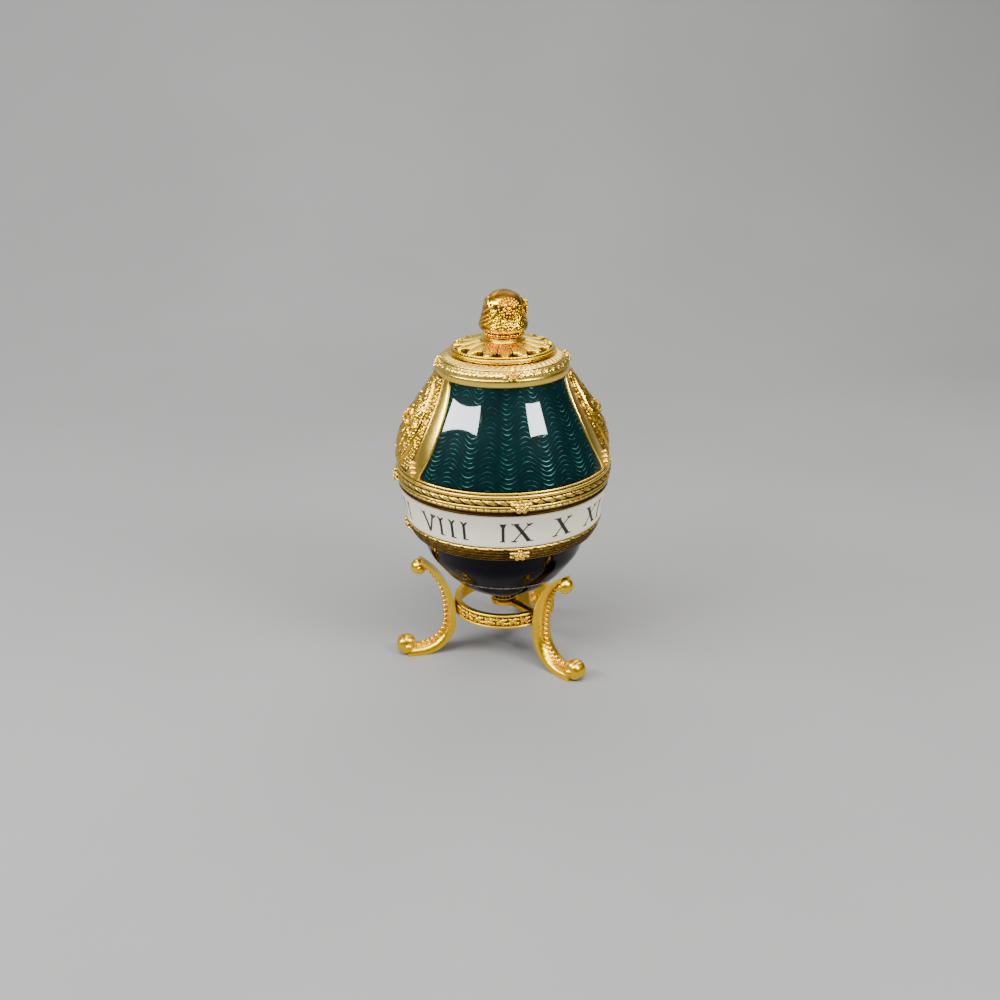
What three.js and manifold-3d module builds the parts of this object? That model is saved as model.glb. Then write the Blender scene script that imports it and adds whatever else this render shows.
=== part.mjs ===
// Enamel egg clock on a three-legged gilt stand.
// Millimetres, +Z up. The origin is on the egg's axis, on the surface that the feet stand on.
// The front enamel panel and the front rosettes face -Y, the two relief medallions face -X and +X.
// Azimuths are degrees round the axis, 0 at the front and positive towards +X.
import * as THREE from 'three';
import { mergeVertices } from 'three/addons/utils/BufferGeometryUtils.js';
import Module from 'manifold-3d';

const wasm = await Module();
wasm.setup();

// Driving dimensions, in millimetres and degrees
const GAP = 0.3;
const WALL = 1.6;
const SEGMENTS = 24;

// Heights of the stacked pieces of the egg
const BOWL_BOTTOM_Z = 18.3;
const BOWL_TOP_Z = 39.2;
const LOWER_RING_Z = [39.5, 43.9];
const NUMERAL_BAND_Z = [44.2, 53.9];
const EQUATOR_RING_Z = [54.2, 59.9];
const FRAME_Z = [60.2, 91.1];

// Outer radii
const BOWL_TOP_RADIUS = 25.1;
const LOWER_RING_RADIUS = 28.75;
const BAND_BOTTOM_RADIUS = 28.4;
const BAND_TOP_RADIUS = 30.3;
const BAND_HOLLOW = 0.35;
const EQUATOR_RADIUS = 31.0;
const EQUATOR_INNER_RADIUS = 28.4;
const LOWER_RING_INNER_RADII = [23.7, 26.6];
const NECK_RADIUS = 18.7;
const NECK_BORE_RADIUS = 12.6;
const NECK_MOUTH_RADIUS = 15.0;

// The upper egg: radius of the smooth gilt frame at heights above the equator ring
const EGG_OUTLINE = [
  [30.2, 60.2],
  [28.6, 64.7],
  [27.0, 69.0],
  [24.8, 73.3],
  [22.5, 77.6],
  [20.2, 81.9],
  [18.5, 85.8],
  [18.3, 87.2],
];
const PANEL_Z = [60.9, 85.6];
const PANEL_WAIST_Z = 73.2;
const PANEL_WAIST_HALF_DEG = 52.2;
const PANEL_END_SPREAD_DEG = 6.8;
const PANEL_SINK = 0.35;
const PANEL_THICK = 1.2;
const WINDOW_SLACK_DEG = 0.8;

// The side medallions
const MEDALLION_Z = [61.4, 86.2];
const MEDALLION_HALF_DEG = 24.6;
const MEDALLION_END_LOSS_DEG = 5.6;
const MEDALLION_OVAL_DEG = 17.0;
const MEDALLION_OVAL_HALF_HEIGHT = 11.6;
const MEDALLION_LEAVES = 12;
const MEDALLION_LEAN_DEG = 27;
const REACH_STEP = 0.01;

// Rosettes tied round the mouldings, four to a ring
const ROSETTES = 4;
const ROSETTE_PETALS = 5;
const NECK_ROSETTE = { radius: 18.0, z: 89.2, size: 1.9, tilt: 28 };
const EQUATOR_ROSETTE = { radius: 30.8, z: 56.8, size: 2.0, tilt: -4 };
const LOWER_ROSETTE = { radius: 28.0, z: 41.7, size: 1.85, tilt: -18 };
const MEDALLION_FLOWER_SIZE = 2.3;

// Lid and crown-shaped finial
const LID_RADIUS = 14.8;
const LID_Z = 91.4;
const LID_RIM_TOP_Z = 93.0;
const LID_LOBES = 16;
const LID_TURN_DEG = 5.9;
const LID_COLLAR_RADIUS = 5.3;
const LID_TOP_Z = 95.7;
const FINIAL_Z = [96.0, 108.6];
const FINIAL_LOBES = 4;
const FINIAL_SHIFT = 0.4;
const FINIAL_BOSSES = [
  { azimuth: 6, radius: 4.9, height: 8.4, width: 3.2, tall: 2.8 },
  { azimuth: 98, radius: 5.3, height: 7.4, width: 2.2, tall: 2.2 },
  { azimuth: 186, radius: 4.9, height: 8.4, width: 3.2, tall: 2.8 },
];
const FINIAL_BOSS_DEPTH = 1.7;

// Stand
const STAND_RING_Z = [12.3, 16.4];
const STAND_RING_RADIUS = [14.9, 15.1];
const STAND_RING_INNER_RADIUS = 13.4;
const BOSS_RADIUS = 4.0;
const BOSS_Z = [15.9, 18.0];
const ARM_WIDTH = 2.4;
const ARM_HEIGHT = 1.6;
const LEG_AZIMUTHS = [33.3, -86.7, 153.3];
const LEG_NAMES = ['stand_leg_right', 'stand_leg_left', 'stand_leg_back'];
const LEG_WIDTH = 6.3;
const LEG_TOP_WIDTH = 4.6;
const LEG_BACK_RADIUS = 15.4;
const LEG_LOWER_CURVE = 10.8;
const LEG_UPPER_CURVE = 21.6;
const LEG_STRAIGHT_Z = 12.5;
const LEG_TOP_SWEEP_DEG = 56;
const LEG_BEADS = 13;
const LEG_BEAD_RISE = 0.8;
const LEG_EDGE_THICK = 1.0;
const LEG_FOOT_THICK = 2.6;
const LEG_TOP_THICK = 1.2;
const LEG_THINS_FROM = 0.5;
const LEG_BEAD_WIDTH = 1.8;
const FOOT_SCROLL = { rho: 30.2, radius: 2.95, width: 5.6 };
const TOP_BALL = { rho: 25.7, z: 28.1, radius: 2.35 };
const SCROLL_EYE_RADIUS = 1.35;

// Materials
const gilt = () => new THREE.MeshStandardMaterial({ color: 0xd9a53a, roughness: 0.28, metalness: 1 });
const paleGilt = () => new THREE.MeshStandardMaterial({ color: 0xc9a566, roughness: 0.38, metalness: 1 });
const greenEnamel = () => new THREE.MeshStandardMaterial({ color: 0x06443f, roughness: 0.12, metalness: 0.2 });
const darkEnamel = () => new THREE.MeshStandardMaterial({ color: 0x05060f, roughness: 0.08, metalness: 0.1 });
const ivoryEnamel = () => new THREE.MeshStandardMaterial({ color: 0xe3dfc8, roughness: 0.3, metalness: 0 });

// Geometry helpers
const rad = THREE.MathUtils.degToRad;

// A point at a radius and azimuth, 0 degrees at -Y and positive towards +X
function polar(radius, azimuthDeg, z) {
  const a = rad(azimuthDeg);
  return [radius * Math.sin(a), -radius * Math.cos(a), z];
}

// A boolean solid from any closed three.js geometry, with its faces turned outwards
function toSolid(geometry) {
  const bare = (geometry.index ? geometry.toNonIndexed() : geometry).clone();
  for (const name of Object.keys(bare.attributes)) {
    if (name !== 'position') bare.deleteAttribute(name);
  }
  const merged = mergeVertices(bare, 1e-4);
  const position = merged.attributes.position.array;
  const triangles = Array.from(merged.index.array);
  const kept = [];
  let volume = 0;
  for (let i = 0; i < triangles.length; i += 3) {
    const [a, b, c] = triangles.slice(i, i + 3);
    if (a === b || b === c || a === c) continue;
    kept.push(a, b, c);
    const p = new THREE.Vector3().fromArray(position, a * 3);
    const q = new THREE.Vector3().fromArray(position, b * 3);
    const r = new THREE.Vector3().fromArray(position, c * 3);
    volume += p.dot(q.cross(r));
  }
  if (volume < 0) kept.reverse();
  const mesh = new wasm.Mesh({
    numProp: 3,
    vertProperties: new Float32Array(position),
    triVerts: new Uint32Array(kept),
  });
  return new wasm.Manifold(mesh);
}

function toGeometry(solid) {
  const mesh = solid.getMesh();
  const geometry = new THREE.BufferGeometry();
  geometry.setAttribute('position', new THREE.BufferAttribute(mesh.vertProperties, 3));
  geometry.setIndex(new THREE.BufferAttribute(mesh.triVerts, 1));
  geometry.computeVertexNormals();
  return geometry;
}

// A solid of revolution about Z from a profile of [radius, z] pairs
function lathe(profile, segments = SEGMENTS) {
  const points = profile.map(([r, z]) => new THREE.Vector2(r, z));
  const closesOnAxis = profile[0][0] === 0;
  if (!closesOnAxis) points.push(points[0].clone());
  const geometry = new THREE.LatheGeometry(points, segments);
  geometry.rotateX(Math.PI / 2);
  return toSolid(geometry);
}

// Triangles for rows of columns closed round, with a fan to one point at each end
function fanAndRows(index, columns, rows, firstCentre, lastCentre) {
  for (let j = 0; j + 1 < rows; j += 1) {
    for (let k = 0; k < columns; k += 1) {
      const a = j * columns + k;
      const b = j * columns + ((k + 1) % columns);
      index.push(a, b, b + columns, a, b + columns, a + columns);
    }
  }
  const last = (rows - 1) * columns;
  for (let k = 0; k < columns; k += 1) {
    const next = (k + 1) % columns;
    index.push(firstCentre, next, k);
    index.push(last + k, last + next, lastCentre);
  }
}

function indexed(positions, index) {
  const geometry = new THREE.BufferGeometry();
  geometry.setAttribute('position', new THREE.Float32BufferAttribute(positions, 3));
  geometry.setIndex(index);
  return geometry;
}

// A turned solid whose radius and height may change round it; rows are functions of the column
function lobed(columns, rows, bottomZ, topZ) {
  const positions = [];
  const index = [];
  for (const row of rows) {
    for (let k = 0; k < columns; k += 1) {
      const [radius, z] = row(k);
      positions.push(...polar(radius, (k * 360) / columns, z));
    }
  }
  const centre = positions.length / 3;
  positions.push(0, 0, bottomZ);
  positions.push(0, 0, topZ);
  fanAndRows(index, columns, rows.length, centre, centre + 1);
  return toSolid(indexed(positions, index));
}

// A closed sheet: columns x rows of outer points and inner points joined round the edge
function plate(columns, rows, outer, inner) {
  const positions = [];
  const index = [];
  const stride = rows + 1;
  const layer = (columns + 1) * stride;
  for (const side of [outer, inner]) {
    for (let i = 0; i <= columns; i += 1) {
      for (let j = 0; j <= rows; j += 1) positions.push(...side(i / columns, j / rows));
    }
  }
  const quad = (a, b, c, d) => index.push(a, b, c, a, c, d);
  for (let i = 0; i < columns; i += 1) {
    for (let j = 0; j < rows; j += 1) {
      const a = i * stride + j;
      quad(a, a + stride, a + stride + 1, a + 1);
      quad(layer + a, layer + a + 1, layer + a + stride + 1, layer + a + stride);
    }
  }
  const edge = (a, b) => quad(b, a, layer + a, layer + b);
  for (let i = 0; i < columns; i += 1) {
    edge(i * stride, (i + 1) * stride);
    edge((i + 1) * stride + rows, i * stride + rows);
  }
  for (let j = 0; j < rows; j += 1) {
    edge(j + 1, j);
    edge(columns * stride + j, columns * stride + j + 1);
  }
  return toSolid(indexed(positions, index));
}

// A half-round bead of a turned profile, from a low point to a high one, bulging outwards
function reed(radius, z0, z1, bulge) {
  const middle = (z0 + z1) / 2;
  return [
    [radius, z0],
    [radius + bulge, middle],
    [radius, z1],
  ];
}

const eggCurve = new THREE.SplineCurve(EGG_OUTLINE.map(([r, z]) => new THREE.Vector2(r, z)));
const eggSamples = eggCurve.getPoints(60);

// Radius of the upper egg's smooth surface at a height
function eggRadius(z) {
  for (let i = 1; i < eggSamples.length; i += 1) {
    const low = eggSamples[i - 1];
    const high = eggSamples[i];
    if (z <= high.y) return THREE.MathUtils.mapLinear(z, low.y, high.y, low.x, high.x);
  }
  return eggSamples.at(-1).x;
}

// Rings of a rosette from its back to its button: reach and height as shares of its size, and how
// far the reach falls between petals
const ROSETTE_RINGS = [
  { reach: 0.95, height: -0.3, fall: 0.25 },
  { reach: 1.0, height: 0.35, fall: 0.28 },
  { reach: 0.4, height: 0.5, fall: 0 },
];
const ROSETTE_BUTTON = 0.95;

// A five-petalled flower that faces outwards, tilted with its moulding, its back inside the metal
function rosette({ radius, z, size, tilt }, azimuthDeg) {
  const corners = ROSETTE_PETALS * 2;
  const positions = [];
  const index = [];
  for (const ring of ROSETTE_RINGS) {
    for (let k = 0; k < corners; k += 1) {
      const turn = (k / corners) * Math.PI * 2 + Math.PI / 2;
      const reach = size * (k % 2 === 0 ? ring.reach : ring.reach - ring.fall);
      positions.push(reach * Math.cos(turn), reach * Math.sin(turn), size * ring.height);
    }
  }
  const back = positions.length / 3;
  positions.push(0, 0, size * ROSETTE_RINGS[0].height);
  positions.push(0, 0, size * ROSETTE_BUTTON);
  fanAndRows(index, corners, ROSETTE_RINGS.length, back, back + 1);
  const place = new THREE.Matrix4()
    .makeRotationZ(rad(azimuthDeg))
    .multiply(new THREE.Matrix4().makeTranslation(0, -radius, z))
    .multiply(new THREE.Matrix4().makeRotationX(rad(90 - tilt)));
  return toSolid(indexed(positions, index).applyMatrix4(place));
}

function addRosettes(solid, flower) {
  let whole = solid;
  for (let k = 0; k < ROSETTES; k += 1) {
    whole = whole.add(rosette(flower, (k * 360) / ROSETTES));
  }
  return whole;
}

// The bowl under the egg: dark enamel shell with one fine raised line, open at the top
function makeBowl() {
  const outer = [
    [0, BOWL_BOTTOM_Z],
    [7.2, 19.2],
    [11.6, 21.3],
    [14.5, 23.4],
    [17.1, 26.1],
    [17.65, 26.4],
    [17.75, 26.9],
    [19.5, 28.8],
    [22.1, 32.4],
    [23.6, 35.9],
    [BOWL_TOP_RADIUS, BOWL_TOP_Z],
  ];
  const inner = [
    [BOWL_TOP_RADIUS - WALL, BOWL_TOP_Z],
    [20.5, 32.6],
    [15.4, 26.2],
    [8.0, 21.4],
    [0, BOWL_BOTTOM_Z + WALL],
  ];
  return lathe([...outer, ...inner]);
}

function makeLowerRing() {
  const [bottom, top] = LOWER_RING_Z;
  const [innerBottom, innerTop] = LOWER_RING_INNER_RADII;
  const r = LOWER_RING_RADIUS;
  const ring = lathe([
    [innerBottom, bottom],
    [26.6, bottom],
    ...reed(26.9, bottom + 0.3, bottom + 1.2, 0.35),
    ...reed(27.6, bottom + 1.3, bottom + 2.3, 0.35),
    ...reed(r - 0.45, bottom + 2.6, top, 0.45),
    [innerTop, top],
  ]);
  return addRosettes(ring, LOWER_ROSETTE);
}

// The hour band: an ivory ring, slightly hollow down its height
function makeNumeralBand() {
  const [bottom, top] = NUMERAL_BAND_Z;
  const steps = 3;
  const outer = [];
  for (let k = 0; k <= steps; k += 1) {
    const t = k / steps;
    const straight = THREE.MathUtils.lerp(BAND_BOTTOM_RADIUS, BAND_TOP_RADIUS, t);
    outer.push([straight - BAND_HOLLOW * Math.sin(Math.PI * t), THREE.MathUtils.lerp(bottom, top, t)]);
  }
  return lathe([[BAND_BOTTOM_RADIUS - WALL, bottom], ...outer, [BAND_TOP_RADIUS - WALL, top]]);
}

function makeEquatorRing() {
  const [bottom, top] = EQUATOR_RING_Z;
  const r = EQUATOR_RADIUS;
  const ring = lathe([
    [EQUATOR_INNER_RADIUS, bottom],
    [30.45, bottom],
    ...reed(r - 0.4, bottom + 1.4, bottom + 2.3, 0.3),
    ...reed(r - 0.4, bottom + 2.6, bottom + 4.4, 0.5),
    [r - 0.25, bottom + 4.7],
    [30.4, top],
    [EQUATOR_INNER_RADIUS, top],
  ]);
  return addRosettes(ring, EQUATOR_ROSETTE);
}

// Half the width of an enamel panel, in degrees, at a height
function panelHalfDeg(z) {
  const t = (z - PANEL_WAIST_Z) / (PANEL_Z[1] - PANEL_WAIST_Z);
  return PANEL_WAIST_HALF_DEG + PANEL_END_SPREAD_DEG * t * t;
}

// A curved patch of the egg, centred on an azimuth, between two depths below the smooth surface
function eggPatch(centreDeg, zRange, halfDeg, rise, columns, rows) {
  const at = (offset) => (s, t) => {
    const z = THREE.MathUtils.lerp(zRange[0], zRange[1], t);
    const u = s * 2 - 1;
    return polar(eggRadius(z) + offset(u, z), centreDeg + u * halfDeg(z), z);
  };
  return plate(columns, rows, at(rise.outer), at(rise.inner));
}

// The upper frame: gilt shell with turned neck mouldings and two windows for the enamel panels
function makeFrame() {
  const [bottom, top] = FRAME_Z;
  const outer = [];
  for (const z of [bottom, 69.0, 77.6, 81.9, 85.8]) {
    outer.push([eggRadius(z), z]);
  }
  const neck = [
    [NECK_RADIUS - 0.2, 86.2],
    [NECK_RADIUS, 87.9],
    [NECK_RADIUS - 0.2, 88.3],
    [NECK_RADIUS - 0.45, 89.4],
    [17.35, 90.1],
    [17.0, 90.45],
    [NECK_MOUTH_RADIUS, top],
    [NECK_BORE_RADIUS, top],
    [NECK_BORE_RADIUS, 88.0],
  ];
  const inner = [84.5, 70, bottom].map((z) => [eggRadius(z) - WALL, z]);
  let shell = lathe([...outer, ...neck, ...inner]);
  for (const centre of [0, 180]) {
    const window = { outer: () => 5, inner: () => -8 };
    const zWindow = [PANEL_Z[0] - GAP, PANEL_Z[1] + GAP];
    shell = shell.subtract(eggPatch(centre, zWindow, (z) => panelHalfDeg(z) + WINDOW_SLACK_DEG, window, 8, 6));
  }
  return addRosettes(shell, NECK_ROSETTE);
}

function makePanel(centreDeg) {
  const rise = { outer: () => -PANEL_SINK, inner: () => -PANEL_SINK - PANEL_THICK };
  return eggPatch(centreDeg, PANEL_Z, panelHalfDeg, rise, 8, 5);
}

// Half the width of a medallion, in degrees, at a height
function medallionHalfDeg(z) {
  const middle = (MEDALLION_Z[0] + MEDALLION_Z[1]) / 2;
  const t = (z - middle) / (MEDALLION_Z[1] - middle);
  return MEDALLION_HALF_DEG - MEDALLION_END_LOSS_DEG * t * t;
}

// How far the medallion's field reaches in a direction from its centre, in ovals
function medallionReach(turn) {
  const middle = (MEDALLION_Z[0] + MEDALLION_Z[1]) / 2;
  let reach = 1;
  const inside = (r) => {
    const z = middle + r * MEDALLION_OVAL_HALF_HEIGHT * Math.sin(turn);
    const across = Math.abs(r * MEDALLION_OVAL_DEG * Math.cos(turn));
    return z >= MEDALLION_Z[0] && z <= MEDALLION_Z[1] && across <= medallionHalfDeg(z);
  };
  while (inside(reach + REACH_STEP)) reach += REACH_STEP;
  return reach;
}

// Rings of a medallion's relief from its middle outwards: the share of the oval, or of the border
// past it, the rise over the egg, and how much the leaves lift every second column
const MEDALLION_RINGS = [
  { oval: 0.4, rise: 3.0, leaf: 0.45 },
  { oval: 0.72, rise: 2.15, leaf: 0.6 },
  { oval: 0.93, rise: 1.2, leaf: 0.15 },
  { oval: 1.0, rise: 1.6, leaf: 0 },
  { border: 0.2, rise: 0.7, leaf: 0.1 },
  { border: 0.65, rise: 1.0, leaf: 0.45 },
  { border: 1, rise: 0.55, leaf: 0 },
];

// A side medallion: a domed oval of radiating leaves in a thin rib, and a foliate border round it
function makeMedallion(centreDeg) {
  const middle = (MEDALLION_Z[0] + MEDALLION_Z[1]) / 2;
  const columns = MEDALLION_LEAVES * 2;
  const positions = [];
  const index = [];
  const point = (reach, turn, rise) => {
    const z = middle + reach * MEDALLION_OVAL_HALF_HEIGHT * Math.sin(turn);
    const azimuth = centreDeg + reach * MEDALLION_OVAL_DEG * Math.cos(turn);
    positions.push(...polar(eggRadius(z) + rise, azimuth, z));
  };
  for (const ring of MEDALLION_RINGS) {
    for (let k = 0; k < columns; k += 1) {
      const turn = (k / columns) * Math.PI * 2;
      const edge = medallionReach(turn);
      const reach = ring.oval ?? THREE.MathUtils.lerp(1, edge, ring.border);
      point(reach, turn, ring.rise + (k % 2 === 0 ? ring.leaf : -ring.leaf));
    }
  }
  for (const share of [1, 0.55]) {
    for (let k = 0; k < columns; k += 1) {
      const turn = (k / columns) * Math.PI * 2;
      point(medallionReach(turn) * share, turn, GAP);
    }
  }
  const front = positions.length / 3;
  point(0, 0, MEDALLION_RINGS[0].rise + 0.3);
  point(0, 0, GAP);
  fanAndRows(index, columns, MEDALLION_RINGS.length + 2, front, front + 1);
  const relief = toSolid(indexed(positions, index));
  const flower = {
    radius: eggRadius(middle) + MEDALLION_RINGS[0].rise,
    z: middle,
    size: MEDALLION_FLOWER_SIZE,
    tilt: MEDALLION_LEAN_DEG,
  };
  return relief.add(rosette(flower, centreDeg));
}

// The lid: a low cone of leaf lobes on a double-beaded rim, with a locating flange below
function makeLid() {
  const z = LID_Z;
  const rimTop = LID_RIM_TOP_Z;
  const rim = lathe([
    [0, z + 0.6],
    [11.4, z + 0.6],
    [11.4, z - 1.6],
    [12.2, z - 1.6],
    [12.2, z],
    [LID_RADIUS - 0.3, z],
    ...reed(LID_RADIUS - 0.3, z + 0.4, z + 1.1, 0.3),
    [LID_RADIUS - 0.45, z + 1.25],
    [LID_RADIUS - 0.6, rimTop],
    [0, rimTop],
  ]);
  const leaf = (tip, notch) => (k) => (k % 2 === 0 ? tip : notch);
  const leaves = lobed(LID_LOBES * 2, [
    leaf([13.6, rimTop - 0.3], [11.6, rimTop - 0.3]),
    leaf([13.5, rimTop + 0.4], [11.5, rimTop + 0.2]),
    leaf([10.2, 94.2], [10.2, 93.8]),
    leaf([LID_COLLAR_RADIUS + 0.9, 94.9], [LID_COLLAR_RADIUS + 0.9, 94.9]),
    leaf([LID_COLLAR_RADIUS, LID_TOP_Z], [LID_COLLAR_RADIUS, LID_TOP_Z]),
  ], rimTop - 0.3, LID_TOP_Z);
  return rim.add(leaves.rotate([0, 0, LID_TURN_DEG + 180 / LID_LOBES]));
}

// Rows of the crown from its foot to its top: radius, height over the foot, swell of the arches
const CROWN_ROWS = [
  [5.0, 0, 0],
  [5.5, 0.5, 0],
  [5.5, 1.2, 0],
  [5.1, 1.4, 0],
  [6.5, 2.4, 0.1],
  [6.45, 3.8, 0.15],
  [5.95, 5.6, 0.2],
  [5.5, 7.9, 0.15],
  [5.15, 9.7, 0.1],
  [3.9, 11.4, 0],
  [2.1, 12.3, 0],
];

// The finial: a domed crown with carved bosses on three sides, over a beaded collar
function makeFinial() {
  const [bottom, top] = FINIAL_Z;
  const columns = FINIAL_LOBES * 4;
  const swing = (k) => Math.cos((k / columns) * FINIAL_LOBES * Math.PI * 2);
  const rows = CROWN_ROWS.map(([radius, height, swell]) => (k) => [radius + swell * swing(k), bottom + height]);
  let crown = lobed(columns, rows, bottom, top);
  for (const { azimuth, radius, height, width, tall } of FINIAL_BOSSES) {
    const boss = new THREE.SphereGeometry(1, 7, 4);
    boss.scale(width, FINIAL_BOSS_DEPTH, tall);
    boss.translate(0, -radius, bottom + height);
    boss.rotateZ(rad(azimuth));
    crown = crown.add(toSolid(boss));
  }
  return crown.translate([FINIAL_SHIFT, 0, 0]);
}

// The stand's ring, with the small seat under the bowl carried on two arms
function makeStandRing() {
  const [bottom, top] = STAND_RING_Z;
  const [topRadius, bottomRadius] = STAND_RING_RADIUS;
  let ring = lathe([
    [STAND_RING_INNER_RADIUS, bottom],
    [bottomRadius, bottom],
    [bottomRadius, bottom + 0.7],
    [bottomRadius - 0.4, bottom + 0.9],
    [topRadius - 0.25, top - 0.9],
    [topRadius, top - 0.7],
    [topRadius, top],
    [STAND_RING_INNER_RADIUS, top],
  ]);
  const seat = new THREE.CylinderGeometry(BOSS_RADIUS, BOSS_RADIUS, ARM_HEIGHT, 16);
  seat.rotateX(Math.PI / 2);
  const seatZ = BOSS_Z[0] - GAP - ARM_HEIGHT / 2;
  seat.translate(0, 0, seatZ);
  ring = ring.add(toSolid(seat));
  for (const azimuth of [LEG_AZIMUTHS[0], LEG_AZIMUTHS[2]]) {
    const length = STAND_RING_INNER_RADIUS + 0.8;
    const arm = new THREE.BoxGeometry(ARM_WIDTH, length, ARM_HEIGHT);
    arm.translate(0, -length / 2, seatZ);
    arm.rotateZ(rad(azimuth));
    ring = ring.add(toSolid(arm));
  }
  return ring;
}

// The gilt boss that the bowl's bottom rests on
function makeBoss() {
  const [bottom, top] = BOSS_Z;
  const boss = new THREE.CylinderGeometry(BOSS_RADIUS - 0.4, BOSS_RADIUS, top - bottom, 16);
  boss.rotateX(Math.PI / 2);
  boss.translate(0, 0, (bottom + top) / 2);
  return toSolid(boss);
}

// The back of a leg in its own plane: straight run on the ground, tight curve, upright, wide curve
function legPath() {
  const path = [];
  const lowerCentre = { rho: LEG_BACK_RADIUS + LEG_LOWER_CURVE, z: LEG_LOWER_CURVE };
  const upperCentre = { rho: LEG_BACK_RADIUS + LEG_UPPER_CURVE, z: LEG_STRAIGHT_Z };
  path.push({ rho: FOOT_SCROLL.rho, z: 0, turn: 0 });
  const lowerSteps = 7;
  for (let k = 0; k <= lowerSteps; k += 1) {
    const a = (k / lowerSteps) * (Math.PI / 2);
    path.push({
      rho: lowerCentre.rho - LEG_LOWER_CURVE * Math.sin(a),
      z: lowerCentre.z - LEG_LOWER_CURVE * Math.cos(a),
      turn: a,
    });
  }
  const upperSteps = 5;
  for (let k = 0; k <= upperSteps; k += 1) {
    const a = (k / upperSteps) * rad(LEG_TOP_SWEEP_DEG);
    path.push({
      rho: upperCentre.rho - LEG_UPPER_CURVE * Math.cos(a),
      z: upperCentre.z + LEG_UPPER_CURVE * Math.sin(a),
      turn: Math.PI / 2 + a,
    });
  }
  return path;
}

// A point of the leg in its plane, raised off its back towards the hollow side
function offBack(station, height) {
  return {
    rho: station.rho + height * Math.sin(station.turn),
    z: station.z + height * Math.cos(station.turn),
  };
}

// The leg's path cut at equal steps of its length, two to each cross bead
function beadedPath() {
  const path = legPath();
  const reach = [0];
  for (let k = 1; k < path.length; k += 1) {
    const step = Math.hypot(path[k].rho - path[k - 1].rho, path[k].z - path[k - 1].z);
    reach.push(reach[k - 1] + step);
  }
  const stations = [];
  const count = LEG_BEADS * 2;
  for (let n = 0; n <= count; n += 1) {
    const along = (n / count) * reach.at(-1);
    let k = 0;
    while (k < path.length - 2 && reach[k + 1] < along) k += 1;
    const mix = (along - reach[k]) / (reach[k + 1] - reach[k]);
    stations.push({
      rho: THREE.MathUtils.lerp(path[k].rho, path[k + 1].rho, mix),
      z: THREE.MathUtils.lerp(path[k].z, path[k + 1].z, mix),
      turn: THREE.MathUtils.lerp(path[k].turn, path[k + 1].turn, mix),
    });
  }
  return stations;
}

// A scroll leg: a strip with a flat back and a ridge of cross beads on its hollow side
function makeLeg(azimuthDeg) {
  const stations = beadedPath();
  const positions = [];
  const index = [];
  const last = stations.length - 1;
  let corners = 0;
  stations.forEach((station, n) => {
    const t = n / last;
    const half = THREE.MathUtils.lerp(LEG_WIDTH, LEG_TOP_WIDTH, t ** 4) / 2;
    const thinned = THREE.MathUtils.smoothstep(t, LEG_THINS_FROM, 1);
    const thick = THREE.MathUtils.lerp(LEG_FOOT_THICK, LEG_TOP_THICK, thinned);
    const ridge = thick + (n % 2 === 1 ? LEG_BEAD_RISE : 0);
    const section = [
      [-half, 0],
      [half, 0],
      [half, LEG_EDGE_THICK],
      [LEG_BEAD_WIDTH / 2, ridge],
      [-LEG_BEAD_WIDTH / 2, ridge],
      [-half, LEG_EDGE_THICK],
    ];
    corners = section.length;
    for (const [side, height] of section) {
      const point = offBack(station, height);
      positions.push(side, -point.rho, point.z);
    }
  });
  const ends = positions.length / 3;
  for (const station of [stations[0], stations[last]]) {
    const point = offBack(station, LEG_EDGE_THICK);
    positions.push(0, -point.rho, point.z);
  }
  fanAndRows(index, corners, stations.length, ends, ends + 1);
  let leg = toSolid(indexed(positions, index));

  // Rolled foot with an eye on each side, flattened where it meets the ground
  const roll = new THREE.CylinderGeometry(FOOT_SCROLL.radius, FOOT_SCROLL.radius, FOOT_SCROLL.width, 14);
  roll.rotateZ(Math.PI / 2);
  roll.translate(0, -FOOT_SCROLL.rho, FOOT_SCROLL.radius);
  leg = leg.add(toSolid(roll));
  const eyes = new THREE.CylinderGeometry(SCROLL_EYE_RADIUS, SCROLL_EYE_RADIUS, FOOT_SCROLL.width + 1.4, 8);
  eyes.rotateZ(Math.PI / 2);
  eyes.translate(0, -FOOT_SCROLL.rho, FOOT_SCROLL.radius);
  leg = leg.add(toSolid(eyes));

  const ball = new THREE.SphereGeometry(TOP_BALL.radius, 8, 6);
  ball.translate(0, -TOP_BALL.rho, TOP_BALL.z);
  leg = leg.add(toSolid(ball));
  return leg.rotate([0, 0, azimuthDeg]);
}

// The assembled clock
const clock = new THREE.Group();

function addPiece(name, solid, material) {
  const mesh = new THREE.Mesh(toGeometry(solid), material);
  mesh.name = name;
  clock.add(mesh);
}

addPiece('stand_ring', makeStandRing(), gilt());
LEG_AZIMUTHS.forEach((azimuth, k) => addPiece(LEG_NAMES[k], makeLeg(azimuth), gilt()));
addPiece('seat_boss', makeBoss(), gilt());
addPiece('lower_shell', makeBowl(), darkEnamel());
addPiece('lower_ring', makeLowerRing(), paleGilt());
addPiece('numeral_band', makeNumeralBand(), ivoryEnamel());
addPiece('equator_ring', makeEquatorRing(), paleGilt());
addPiece('upper_frame', makeFrame(), paleGilt());
addPiece('enamel_panel_front', makePanel(0), greenEnamel());
addPiece('enamel_panel_back', makePanel(180), greenEnamel());
addPiece('medallion_left', makeMedallion(-90), gilt());
addPiece('medallion_right', makeMedallion(90), gilt());
addPiece('lid', makeLid(), gilt());
addPiece('finial', makeFinial(), gilt());

export default clock;
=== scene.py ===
import math

import bpy
import numpy as np
from mathutils import Matrix, Quaternion, Vector


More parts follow.
